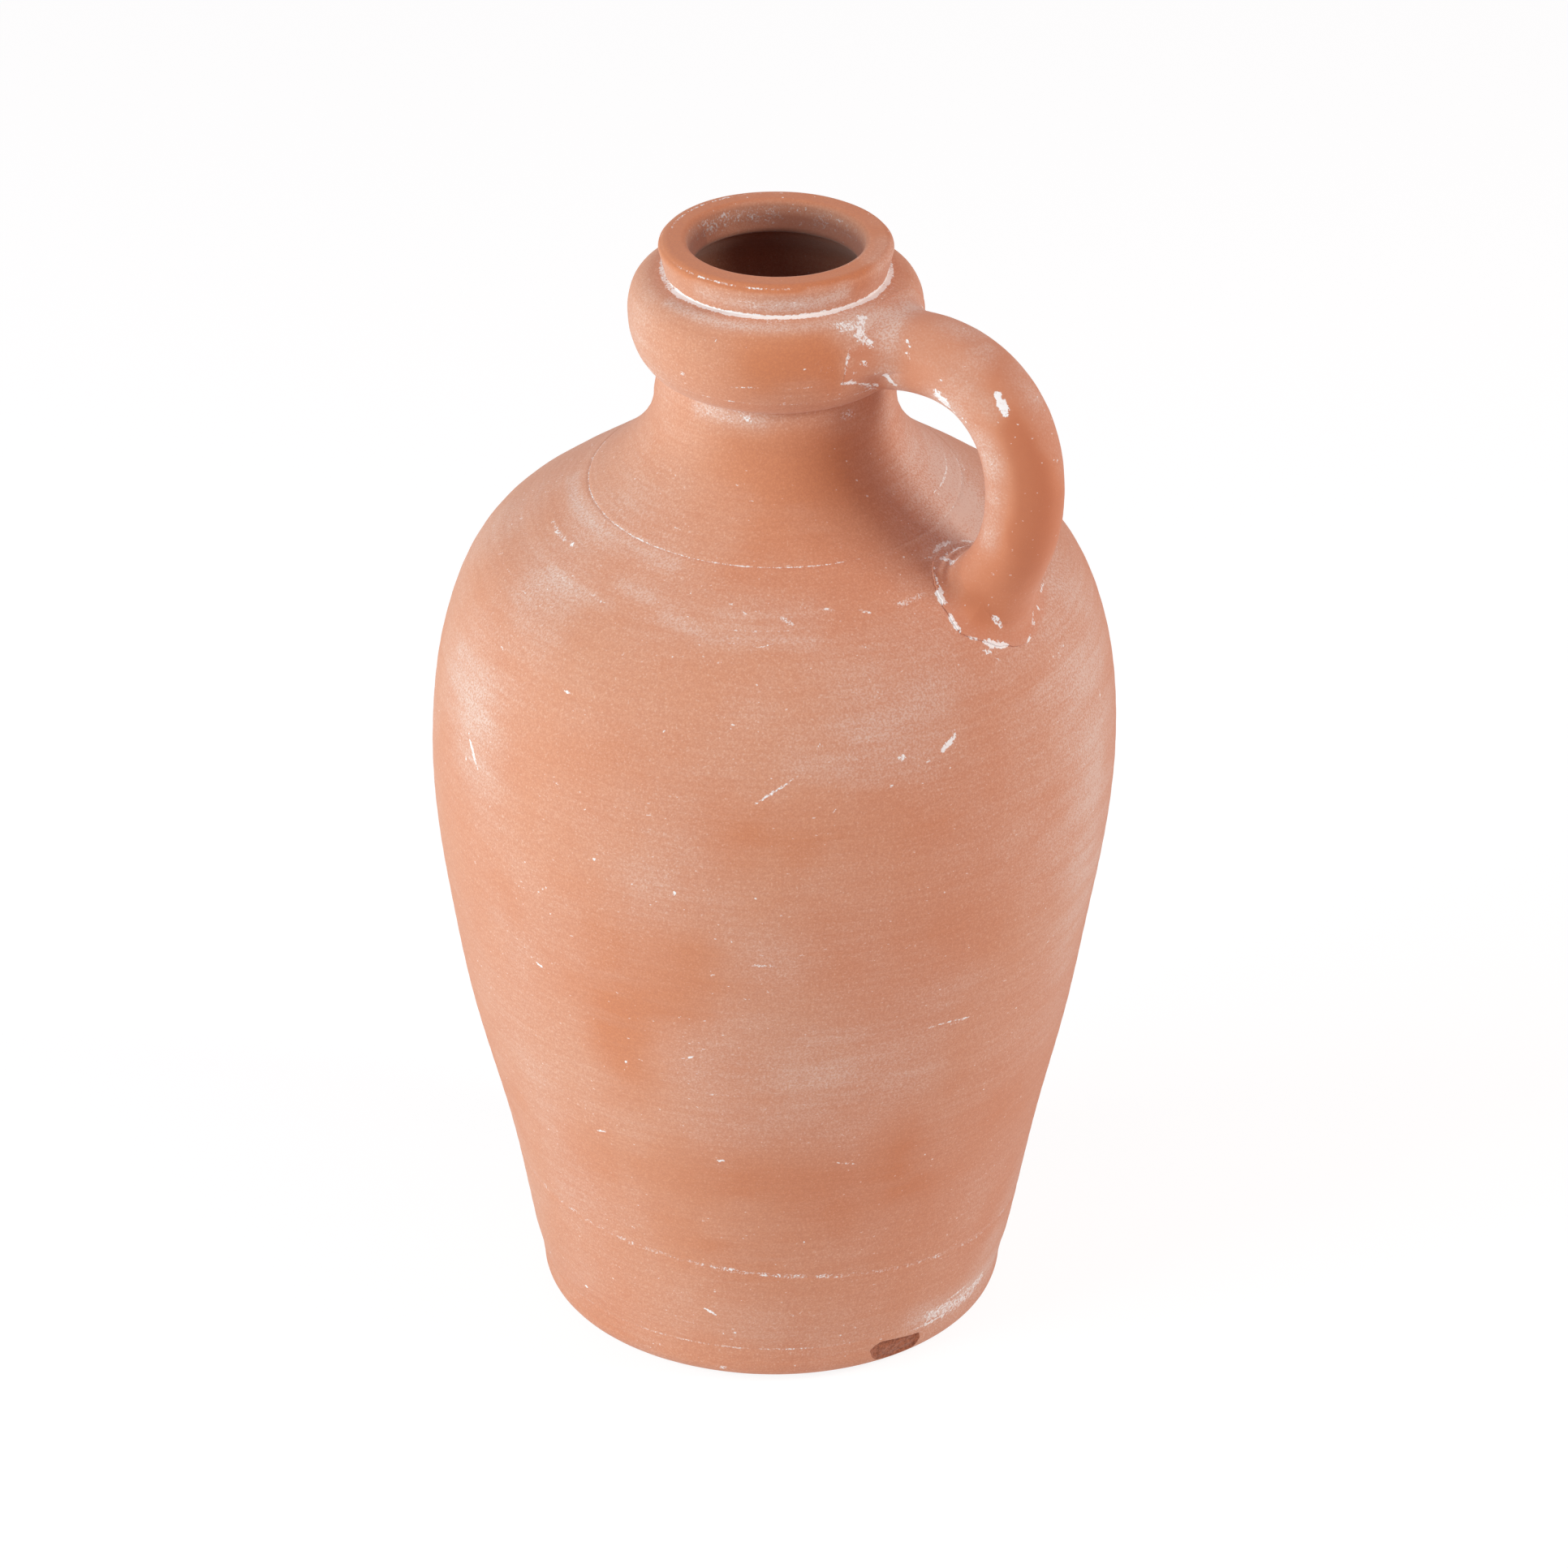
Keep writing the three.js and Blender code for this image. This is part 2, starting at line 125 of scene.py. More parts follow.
# The same clay pulled by a wet hand: smoother and a little redder, with long soft streaks down the pull.
pulledClay = dict(
    thrownClay,
    name="terracotta_pulled_by_hand",
    clay="#cd7e57",
    blush="#cd8460",
    ember="#bf6f49",
    patterns=dict(thrownClay["patterns"], streak=(20.0, 6.0, 4.0, 0.6)),
    shares=dict(
        thrownClay["shares"],
        sandy=("grain", 0.62, 0.40, 0.0, 0.08),
        gritty=("speck", 0.60, 0.36, 0.0, 0.05),
    ),
    filmShare=0.07,
    powderShare=0.17,
    bumps={"grain": (0.55, 0.06), "streak": (0.5, 0.08), "crust": (0.6, 0.12)},
)


def makeClay(look):
    material = bpy.data.materials.new(look["name"])
    material.use_nodes = True
    tree = material.node_tree
    tree.nodes.clear()
    add = partial(addNode, tree)
    smooth, rgba = {"interpolation_type": "SMOOTHSTEP"}, {"data_type": "RGBA"}
    times, timesPlus, most, least = (
        {"operation": name} for name in ("MULTIPLY", "MULTIPLY_ADD", "MAXIMUM", "MINIMUM"))
    tones = {key: linear(value) for key, value in look.items() if str(value).startswith("#")}
    place = add("TexCoord", output="Object")

    # every pattern is one noise in the jug's own space, stretched by its real sizes
    found = {name: add("Attribute", output="Fac", attribute_name=name) for name in painted}
    for number, (name, (wide, tall, detail, roughness)) in enumerate(look["patterns"].items()):
        spread = add("Mapping", {
            "Vector": place, "Location": [number * shift for shift in look["patternShift"]],
            "Scale": (1 / (wide * mm), 1 / (wide * mm), 1 / (tall * mm))})
        found[name] = add(
            "TexNoise", {"Vector": spread, "Scale": 1.0, "Detail": detail, "Roughness": roughness})
    for name, (source, *ends) in look["shares"].items():
        found[name] = add("MapRange", (found[source], *ends), **smooth)

    # thin film of limewash: streaky, thicker where the haze marks say so, powdery over the grain
    film = add("Math", (found["streaky"], found["patchy"]), **times)
    wisps = add("Math", (found["cloudy"], found["wiped"]), **times)
    wisps = add("Math", (found["haze"], wisps), **times)
    film = add("Math", (film, look["filmShare"], wisps), **timesPlus)
    film = add("Math", (film, found["sanded"]), **times)
    film = add("Clamp", (film, 0.0, look["filmMost"]))
    powder = add("Math", (found["dusty"], look["powderShare"], film), **timesPlus)
    powder = add("Math", (powder, found["powdery"]), **times)
    powder = add("Math", (powder, look["powderMost"]), **least)
    found["film"] = add("Math", (film, powder), **most)

    # chalky crust: the marks broken up by their own crumbs, and loose specks
    crust = add("Math", (found["limewash"], found["crumbled"]), operation="ADD")
    crust = add("MapRange", (crust, look["crustFrom"], look["crustTo"], 0.0, 1.0), **smooth)
    crust = add("Math", (crust, found["covered"]), **times)
    specks = add("Math", (found["specked"], found["speckled"]), **times)
    found["crust"] = add("Math", (crust, specks), **most)

    # the coats over the clay; bare broken clay has a tone of its own
    tones["raw"] = add("Mix", {0: found["rough"], 6: tones["scarDark"], 7: tones["scar"]}, **rgba)
    colour = tones["clay"]
    for name, tone in look["coats"]:
        colour = add("Mix", {0: found[name], 6: colour, 7: tones[tone]}, **rgba)

    chalky = add("Math", (found["film"], look["roughFilm"], found["grain"]), **timesPlus)
    roughness = add("MapRange", (chalky, look["roughFrom"], look["roughTo"], *look["roughness"]), **smooth)
    normal = add("NewGeometry", output="Normal")
    for name, (strength, height) in look["bumps"].items():
        normal = add("Bump", {
            "Height": found[name], "Strength": strength, "Distance": height * mm, "Normal": normal})
    skin = add("BsdfPrincipled", {
        "Base Color": colour, "Roughness": roughness, "Normal": normal, "IOR": look["ior"],
        "Sheen Weight": look["sheen"], "Sheen Roughness": look["sheenRoughness"],
        "Sheen Tint": tones["sheenTint"]})
    add("OutputMaterial", {"Surface": skin})
    return material


thrownTerracotta = makeClay(thrownClay)
pulledTerracotta = makeClay(pulledClay)
print("materials:", thrownTerracotta.name, "and", pulledTerracotta.name)

# Outside of the pot as one line of radius and height, from the underside of the foot to the mouth. A pull
# is the share of a rise that a curve holds its direction for, at its lower and upper end.
potForm = {
    "footRadius": 74.4, "baseThickness": 9.0, "footFlare": 0.18, "wall": 8.0, "slip": 0.3, "grooveDepth": 0.28,
    "bellyRadius": 108.4, "bellyHeight": 196.8, "lowerPull": (0.345, 0.25),
    "shoulderRadius": 78.7, "shoulderHeight": 275.0, "shoulderSlope": 37.8, "shoulderPull": (0.793, 0.143),
    "neckRadius": 37.5, "neckHeight": 318.1, "neckSeam": 0.42, "sweepPull": (0.422, 0.44),
    "neckTopRadius": 36.2, "collarHeight": 327.5, "collarStart": (0.15, 0.045),
    "bulgeRadius": 45.7, "bulgeHeight": 345.886, "bulgePull": (0.28, 0.326), "collarEnd": 0.55,
    "lipFootRadius": 34.2, "lipHeight": 359.2, "lipRadius": 36.2, "lipRound": 2.9, "topHeight": 370.0,
    "mouthRadius": 27.3, "mouthRound": 2.07, "throatRadius": 25.6, "mouthFoot": 361.6,
    "bevelRadius": 29.3, "bevelRise": 0.7, "bevelRun": 0.9,
    "segments": 360,
}
p = SimpleNamespace(**potForm)


def bezier(a, b, c, d, count, start=0.0, end=1.0):
    t = np.linspace(start, end, count)[:, None]
    a, b, c, d = (np.array(q, float) for q in (a, b, c, d))
    return (1 - t) ** 3 * a + 3 * (1 - t) ** 2 * t * b + 3 * (1 - t) * t ** 2 * c + t ** 3 * d


def heading(degrees):
    return np.array([math.cos(math.radians(degrees)), math.sin(math.radians(degrees))])


def arc(centre, radius, start, end, count):
    turn = np.radians(np.linspace(start, end, count))
    return np.stack([centre[0] + radius * np.cos(turn), centre[1] + radius * np.sin(turn)], 1)


down = heading(-p.shoulderSlope)
foot = np.array([p.footRadius, p.baseThickness])
belly = np.array([p.bellyRadius, p.bellyHeight])
shoulder = np.array([p.shoulderRadius, p.shoulderHeight])
neck = np.array([p.neckRadius, p.neckHeight])
neckTop = np.array([p.neckTopRadius, p.collarHeight])
bulge = np.array([p.bulgeRadius, p.bulgeHeight])
lipFoot = np.array([p.lipFootRadius, p.lipHeight])
throat = np.array([p.throatRadius, p.mouthFoot])
lipTurn, mouthTurn = p.lipRadius - p.lipRound, p.mouthRadius + p.mouthRound
lowerRise, shoulderRise = belly[1] - foot[1], shoulder[1] - belly[1]
sweepRise, collarRise = neck[1] - shoulder[1], lipFoot[1] - neckTop[1]
lowerStart = p.lowerPull[0] * lowerRise
shoulderCurve = (
    belly, belly + (0, p.shoulderPull[0] * shoulderRise), shoulder + p.shoulderPull[1] * shoulderRise * down,
    shoulder)
sweepCurve = (
    shoulder, shoulder - p.sweepPull[0] * sweepRise * down, neck - (0, p.sweepPull[1] * sweepRise), neck)
parts = [
    ("foot", arc((foot[0] - foot[1], foot[1]), foot[1], -90, 0, 60)),
    ("lower", bezier(
        foot, foot + (lowerStart * p.footFlare, lowerStart), belly - (0, p.lowerPull[1] * lowerRise), belly,
        500)),
    ("shoulder", bezier(*shoulderCurve, 300)),
    ("sweepLow", bezier(*sweepCurve, 80, 0, p.neckSeam)),
    ("sweepHigh", bezier(*sweepCurve, 120, p.neckSeam, 1)),
    ("neck", np.linspace(neck, neckTop, 30)),
    ("collarLow", bezier(
        neckTop, neckTop + collarRise * np.array(p.collarStart), bulge - (0, p.bulgePull[0] * collarRise),
        bulge, 90)),
    ("collarHigh", bezier(
        bulge, bulge + (0, p.bulgePull[1] * collarRise), lipFoot + (p.collarEnd * (bulge[0] - lipFoot[0]), 0),
        lipFoot, 90)),
    ("lipWall", np.linspace(lipFoot, (p.lipRadius, p.topHeight - p.lipRound), 40)),
    ("lipRound", arc((lipTurn, p.topHeight - p.lipRound), p.lipRound, 0, 90, 30)),
    ("lipTop", np.linspace((lipTurn, p.topHeight), (mouthTurn, p.topHeight), 20)),
    ("mouthRound", arc((mouthTurn, p.topHeight - p.mouthRound), p.mouthRound, 90, 180, 24)),
    ("mouth", np.linspace((p.mouthRadius, p.topHeight - p.mouthRound), throat, 24)),
    ("mouthBevel", bezier(
        throat, (throat[0], p.lipHeight + p.bevelRise), (throat[0] + p.bevelRun, p.lipHeight),
        (p.bevelRadius, p.lipHeight), 24)),
]
line, starts = [parts[0][1][0]], {}
for name, points in parts:
    starts[name] = len(line) - 1
    line.extend(points[1:])
line = np.array(line)
skinLength = np.concatenate([[0], np.cumsum(np.hypot(*np.diff(line, axis=0).T))])
skinRadius, skinHeight = line.T
run = np.gradient(line, axis=0)
run /= np.linalg.norm(run, axis=1)[:, None]
skinOut, skinUp = run[:, 1], -run[:, 0]  # outward normal
seam = SimpleNamespace(**{name: float(skinLength[i]) for name, i in starts.items()})
seam.mouthEnd = float(skinLength[-1])
outerEnd = starts["lipTop"] + 1


def lengthAt(height):
    return np.interp(height, skinHeight[:outerEnd], skinLength[:outerEnd])


def radiusAt(height):
    return np.interp(height, skinHeight[:outerEnd], skinRadius[:outerEnd])


# The wheel leaves the form a little uneven: swells at heights, a lean towards azimuth leanWay, and two
# rings that were cut out of level. The swells fade out within evenRadius of the axis.
unevenness = {
    "swells": [(0, 0), (15, -0.3), (25, 0.3), (65, -0.4), (109, 0.35), (152, -0.4), (192, -0.36),
               (224, -0.45), (240, -0.6), (275, 0), (400, 0)],
    "leans": [(0, 0.3), (40, 0.6), (130, -0.5), (245, 0.6), (300, 0), (400, 0)],
    "leanWay": 33.5,
    "oval": 0.10, "ovalWay": 20.0, "evenRadius": 30.0,
    "throwingPitch": 6.5, "throwingDepth": 0.03, "throwingRough": [(0.10, 34, 3), (0.03, 7, 4)],
    "scoredHeight": 46.0, "scoredTilt": 8.0, "scoredWay": 33.5, "scoredReach": 16.0,
    "seamTilt": 3.6, "seamDrop": -1.4, "seamReach": 13.0, "frontWay": -56.5,
}
u = SimpleNamespace(**unevenness)


# eased steps between (height, value) pairs
def eased(height, pairs):
    heights, values = np.array(pairs, float).T
    spot = np.clip(np.searchsorted(heights, height) - 1, 0, len(heights) - 2)
    share = np.clip((height - heights[spot]) / (heights[spot + 1] - heights[spot]), 0, 1)
    share = 0.5 - 0.5 * np.cos(np.pi * share)
    return values[spot] + (values[spot + 1] - values[spot]) * share


# a point of the true form, moved to where the wheel left it
def handmade(radius, height, azimuth):
    turn, way = np.radians(azimuth), math.radians(u.leanWay)
    swell = eased(height, u.swells) + u.oval * np.cos(2 * (turn - math.radians(u.ovalWay)))
    radius = radius + swell * np.clip(radius / u.evenRadius, 0, 1)
    lean = eased(height, u.leans)
    x = radius * np.cos(turn) + lean * math.cos(way)
    y = radius * np.sin(turn) + lean * math.sin(way)
    return np.stack([x, y, np.broadcast_to(height, x.shape)], -1)


# radius and height at a length along the skin line, lifted off it
def skinAt(length, lift):
    radius = np.interp(length, skinLength, skinRadius) + lift * np.interp(length, skinLength, skinOut)
    height = np.interp(length, skinLength, skinHeight) + lift * np.interp(length, skinLength, skinUp)
    return radius, height


def skinPoint(azimuth, length, lift=0.0):
    return handmade(*skinAt(length, lift), azimuth)


def onSkin(azimuth, height):
    return skinPoint(azimuth, lengthAt(height))


scoredLength, neckSeamLength = float(lengthAt(u.scoredHeight)), seam.sweepHigh


# rows of the mesh follow the two rings that are out of level
def rowShift(azimuth, length):
    turn = np.radians(azimuth)
    scored = -u.scoredTilt * np.cos(turn - math.radians(u.scoredWay))
    level = u.seamDrop - u.seamTilt * np.cos(turn - math.radians(u.frontWay))
    return (
        scored * np.exp(-((length - scoredLength) / u.scoredReach) ** 2)
        + level * np.exp(-((length - neckSeamLength) / u.seamReach) ** 2)
    )


seedStep = np.array([7.31, 3.17, 5.71])


# roughness as layers of Blender's own noise, each a depth, a size in millimetres and a seed
def roughAt(points, layers, shift=0):
    total = 0.0
    for depth, size, seed in layers:
        moved = points / size + (seed + shift) * seedStep
        total = total + depth * np.array([noise.noise(q) for q in moved.tolist()])
    return total


# Limewash left in hollows and scratches: each mark's width and strength, then azimuth, height of its points.
limeMarks = [
    # shoulder and belly scratches
    (1.2, 0.72, -60.4, 228.3, -58.2, 231.3, -55.6, 234.4, -51.7, 239.1),
    (1.4, 0.95, -119.4, 221.5, -117.8, 219, -115, 212.8), (1.2, 0.7, -119.8, 214.6, -119.4, 212.9),
    (2.2, 1, -26.9, 239.7, -25.2, 241.6, -23.8, 243.2), (0.9, 0.55, -31.2, 236.4, -28.2, 238.8),
    (1.7, 0.66, -36.6, 277.8, -35, 277.4, -33.6, 276.9), (1.8, 0.44, -45.7, 279.1, -42.3, 278.4),
    (2, 0.48, -55.2, 277.6, -53.6, 276.8, -52, 276.2), (1.4, 0.36, -57.6, 274.8, -56.6, 273.4),
    (1.6, 0.42, -67.6, 279.9, -66.4, 279.5),
    (0.7, 0.6, -72.7, 271.5, -64.2, 272.1, -59.4, 271.6, -56.5, 272.4, -49.3, 272.2),
    (1.3, 0.46, -105, 275.1, -100.1, 274.7, -98.5, 274.4, -96, 274.7),
    (1.9, 0.75, -119.2, 280.9, -118, 280.5), (0.8, 0.7, -96.5, 223.9, -93.4, 223.3),
    (0.7, 0.7, -121.1, 268.3, -116, 268), (0.9, 0.7, -116.4, 253.8, -114.8, 253.3),
    (0.9, 0.6, -136.4, 268, -135.1, 269.6), (2.3, 0.8, -34.8, 240.5, -34, 240.4),
    (1.2, 0.85, 17.1, 229.6, 16, 226.2), (0.8, 0.6, -46.9, 225.8, -45.8, 228.2),
    (1.3, 0.7, -37, 232, -36.2, 232.6), (1.6, 0.4, -64.6, 278.9, -62.9, 278),
    (1.2, 0.42, -50.3, 279.6, -48.4, 279.2), (1, 0.42, -71.7, 275.2, -66.1, 274.7, -55.3, 274.8, -48, 275.6),
    (1.1, 0.7, -97.6, 252, -95.6, 251.6), (0.9, 0.7, -87.2, 264.6, -87.5, 266.2),
    (0.8, 0.6, -77, 247.2, -75.6, 249.2), (0.8, 0.6, -65, 249.8, -64.1, 251.8),
    (0.8, 0.6, -48.4, 247.9, -49.4, 245.4), (0.9, 0.5, -38.6, 271, -35.8, 269.2),
    # powdery streaks along the turning
    (2.6, 0.26, -150, 286, -132, 286, -116, 286.4), (2, 0.42, -134.4, 280.5, -126, 280.3, -119.5, 280.5),
    (1.5, 0.36, -116.8, 274.6, -108, 274.8), (0.8, 0.45, -135.4, 268.3, -128, 268.6, -122.4, 268.7),
    (2.4, 0.26, -76, 273.6, -70, 272.4, -56, 273.2, -49, 272.3),
    # belly, lower half
    (0.9, 0.85, -29.1, 141.5, -25, 141.7, -21, 141.2, -17.2, 140.2), (0.8, 0.7, -23.7, 140.3, -19.7, 140.2),
    (0.7, 0.6, -7.5, 125.6, -2.6, 122.8), (1.5, 0.46, -60.6, 173.2, -57.7, 173.5, -54.4, 173.3),
    (0.9, 0.42, -61.6, 160.5, -59.8, 160.5), (0.9, 0.42, -72.4, 121.6, -66, 121.6, -57.8, 122.1),
    (1.2, 0.55, -59, 177.9, -57.4, 177.2), (1, 0.6, -45.2, 93.9, -38.6, 90.7),
    (1.7, 1, -73, 197.3, -72.4, 197), (1.2, 0.9, -87.6, 202.8, -86.8, 203),
    (1.1, 0.95, -101.8, 156.1, -100.2, 155.2, -99, 154.5), (1.5, 0.9, -83.4, 128.9, -83, 128.1),
    (1, 0.8, -93.5, 95, -91.2, 95.8, -89, 96.6), (1, 0.85, -71.4, 134.8, -69.8, 136.2),
    (1.4, 0.8, -67.2, 94.2, -65.2, 94.4), (0.9, 0.6, -70.4, 129.5, -67.8, 129.3),
    (1.1, 0.7, -59.6, 197.8, -59, 198),
    # back
    (1.2, 0.7, 139, 261, 141.5, 263.4, 144, 264.6), (1.4, 0.6, 174, 231, 176.6, 228.6),
    (1, 0.6, 99, 276.4, 104, 276, 108, 276.6), (1.1, 0.7, -166, 181, -163.4, 180.2),
    (1.5, 0.8, 121, 152, 121.8, 152.4), (1, 0.6, 64, 214, 67, 216.6), (1.3, 0.7, 158, 97, 160.6, 96.4),
    (1.2, 0.6, 78, 62, 80.4, 61.2),
    # foot
    (1.2, 0.9, -49.7, 59.8, -49.3, 59.8), (1, 0.8, -47.3, 55.2, -46.9, 55.2),
    (1.5, 0.95, -108.2, 20.6, -107, 20), (1.3, 0.9, -72.6, 29.6, -71, 28.9, -69.3, 27.3),
    (0.9, 0.7, -78.2, 22.7, -74.9, 22.4), (1.2, 0.75, -52.4, 28.9, -50.8, 28.7),
    (1.3, 0.9, -65.8, 20.6, -64.4, 20.6), (1, 0.8, -68.4, 19.6, -67.8, 19.8),
    (2, 0.8, -69.2, 4.7, -67.8, 5.2), (1.3, 0.6, -40.2, 17.8, -39, 17.9),
    (1.2, 0.6, -36.6, 20.7, -35.2, 20.5), (5.6, 0.54, -14, 14.8, -7, 13.6, 1, 13.6, 7, 15),
    (1.4, 0.7, -20, 11.6, -13.5, 11.4, -6, 12.4), (1.2, 0.6, -12, 17, -4, 18, 3, 18.6),
    # collar, neck and lip
    (5, 0.3, -96, 325, -84, 325.2, -72, 325.6), (2.2, 0.5, -73, 325.2, -69.5, 325.2, -67, 325.2),
    (3, 0.4, -21.5, 323.9, -17, 323.8), (2.2, 0.24, -64, 325.8, -55, 326.2),
    (1.6, 0.7, -81.2, 353.9, -80.6, 353.7), (1.2, 0.6, -68.4, 353.4, -67.8, 353.3),
    (3, 0.2, -40.2, 347.9, -35, 345), (1, 0.6, -74.6, 339.4, -68.3, 340.1, -63.8, 340.3),
    (0.9, 0.5, -56, 339.6, -46, 340.2, -38.6, 340), (2.4, 0.5, -96.4, 340.6, -94.6, 340),
    (1, 0.6, -46, 346.5, -44.4, 346.7),
    # smears over the upper root of the handle
    (3.4, 0.68, -16.8, 357.6, -19.2, 356.2, -21.8, 353.6), (3.4, 0.6, -20, 353, -18.2, 351.6),
    (3.6, 0.5, -29, 357.2, -22.3, 356.6), (4, 0.62, 5.4, 354.2, 9.2, 352.6), (3.6, 0.5, -4.2, 353.8, -1, 353),
    (2.4, 0.7, 18.4, 351.8, 21.6, 350.8), (1.6, 0.6, -10.2, 351.9, -8.8, 351.2),
    (1.7, 0.58, -25.9, 352, -27.5, 348.3, -28.4, 345.4, -28.7, 341.6), (2.6, 0.6, -22.2, 345.6, -20.8, 344.8),
    (2, 0.5, -17.6, 341.4, -16.4, 340.6), (1.8, 0.45, -25, 343.4, -24, 341.8),
    (2, 0.45, -20, 337, -14, 334.4, -8, 331.6), (2, 0.82, -29.8, 339.9, -26.6, 339.7, -23.4, 338.9),
    (1.6, 0.62, -23, 338.7, -19.5, 337.4, -12, 335, -5, 332.6),
    # crust round the lower root
    (2, 0.85, -8.2, 284.2, -5.2, 284.7, -3, 284.6, 0, 284.2), (1.6, 0.8, 1.4, 283.6, 4, 282.6, 5.7, 281.5),
    (1.4, 0.75, -4.6, 282.6, -1.2, 282.5, 3.2, 280.9),
    (2.2, 0.75, -5.2, 282.9, -7.8, 282.3, -7.4, 280.8, -5.8, 280.3, -3.2, 280.4, -1.4, 280.5),
    (1.2, 0.55, -13.9, 284, -11, 283.8, -8.6, 283.4), (1.4, 0.8, -12.7, 281.5, -11, 281.5),
    (1.2, 0.9, -12.8, 281.3, -13.8, 279.3, -14.6, 277.7), (2.6, 0.9, -14.8, 277.4, -15.6, 276, -15.8, 274.9),
    (1.9, 0.95, -16.2, 272.5, -16.4, 270.6, -16.1, 268.4), (1, 0.7, -15.6, 267.3, -14, 266.1, -12.4, 265),
    (2.5, 0.9, -12, 264.5, -10.2, 262.9, -7.4, 261.3), (2, 0.6, -13.2, 262.6, -11.2, 261.3),
    (1.6, 0.5, -11.6, 259.6, -9.8, 258.6), (1.2, 0.9, 8.8, 266.2, 11, 266.8, 13, 267.2),
    (1.5, 0.7, 5.9, 264.5, 5.2, 263.9), (1.4, 0.7, 3.1, 262.6, 1.6, 261.6),
    (1.5, 0.8, -2.8, 258.8, -1.4, 259.7, -0.2, 260.6), (1.2, 0.5, 0.6, 261.2, 2.4, 263, 4, 265),
    (1, 0.5, 4.8, 252.2, 5.6, 249.8), (1.6, 0.45, 6, 252.6, 8.9, 251.2),
    (2.6, 0.42, -27, 277, -23, 277.5, -19.5, 277.8),
    (0.8, 1, 2, 293.4, 10.6, 293.2, 18.8, 293, 25.9, 293.1, 30.8, 293.1, 36, 293.3, 46, 293.6),
    (0.9, 0.7, 36, 288.6, 39, 288.9, 42, 289.2),
]

# Limewash on the handle: width, strength, then places along the pull, 0 to 21, with degrees round it.
handleLimeMarks = [
    (2.2, 1, 0.95, -96, 1.05, -86, 1.05, -78, 1.12, -64, 1.3, -54), (2.1, 1, 1.86, -128, 1.96, -126),
    (1.6, 0.9, 2, -121, 2.06, -119), (1.9, 0.85, 2, -113, 2.06, -109), (1, 0.8, 2.1, -105, 2.14, -103),
    (0.8, 0.7, 3.5, -97, 3.62, -92, 3.78, -94, 3.76, -98), (4, 0.8, 3.75, -66, 4.35, -61),
    (1.5, 0.8, 4.7, -56, 5.3, -50), (1.8, 0.8, 5.6, -62, 5.75, -62), (1.6, 0.7, 5.9, -64, 6.05, -64),
    (2.9, 1, 6.02, -134, 6.35, -132, 6.72, -130), (1, 0.8, 6.84, 167, 6.92, 169),
    (0.9, 0.8, 7.3, -170, 7.36, -168), (1, 0.6, 8.02, -153, 8.12, -151), (1, 0.7, 8.1, -68, 8.25, -66),
    (0.9, 0.7, 8.58, -80, 8.7, -78), (1.3, 1, 9.12, 175, 9.36, 174), (0.9, 0.7, 9.38, -147, 9.46, -147),
    (1.4, 0.9, 12.75, 150, 12.95, 148), (1.2, 0.8, 13.26, -84, 13.34, -83), (1, 0.7, 18.6, -113, 18.85, -116),
    (2.2, 0.8, 19.6, -128, 19.95, -137, 20.2, -145), (1.8, 0.5, 15.7, -96, 15.95, -96),
]

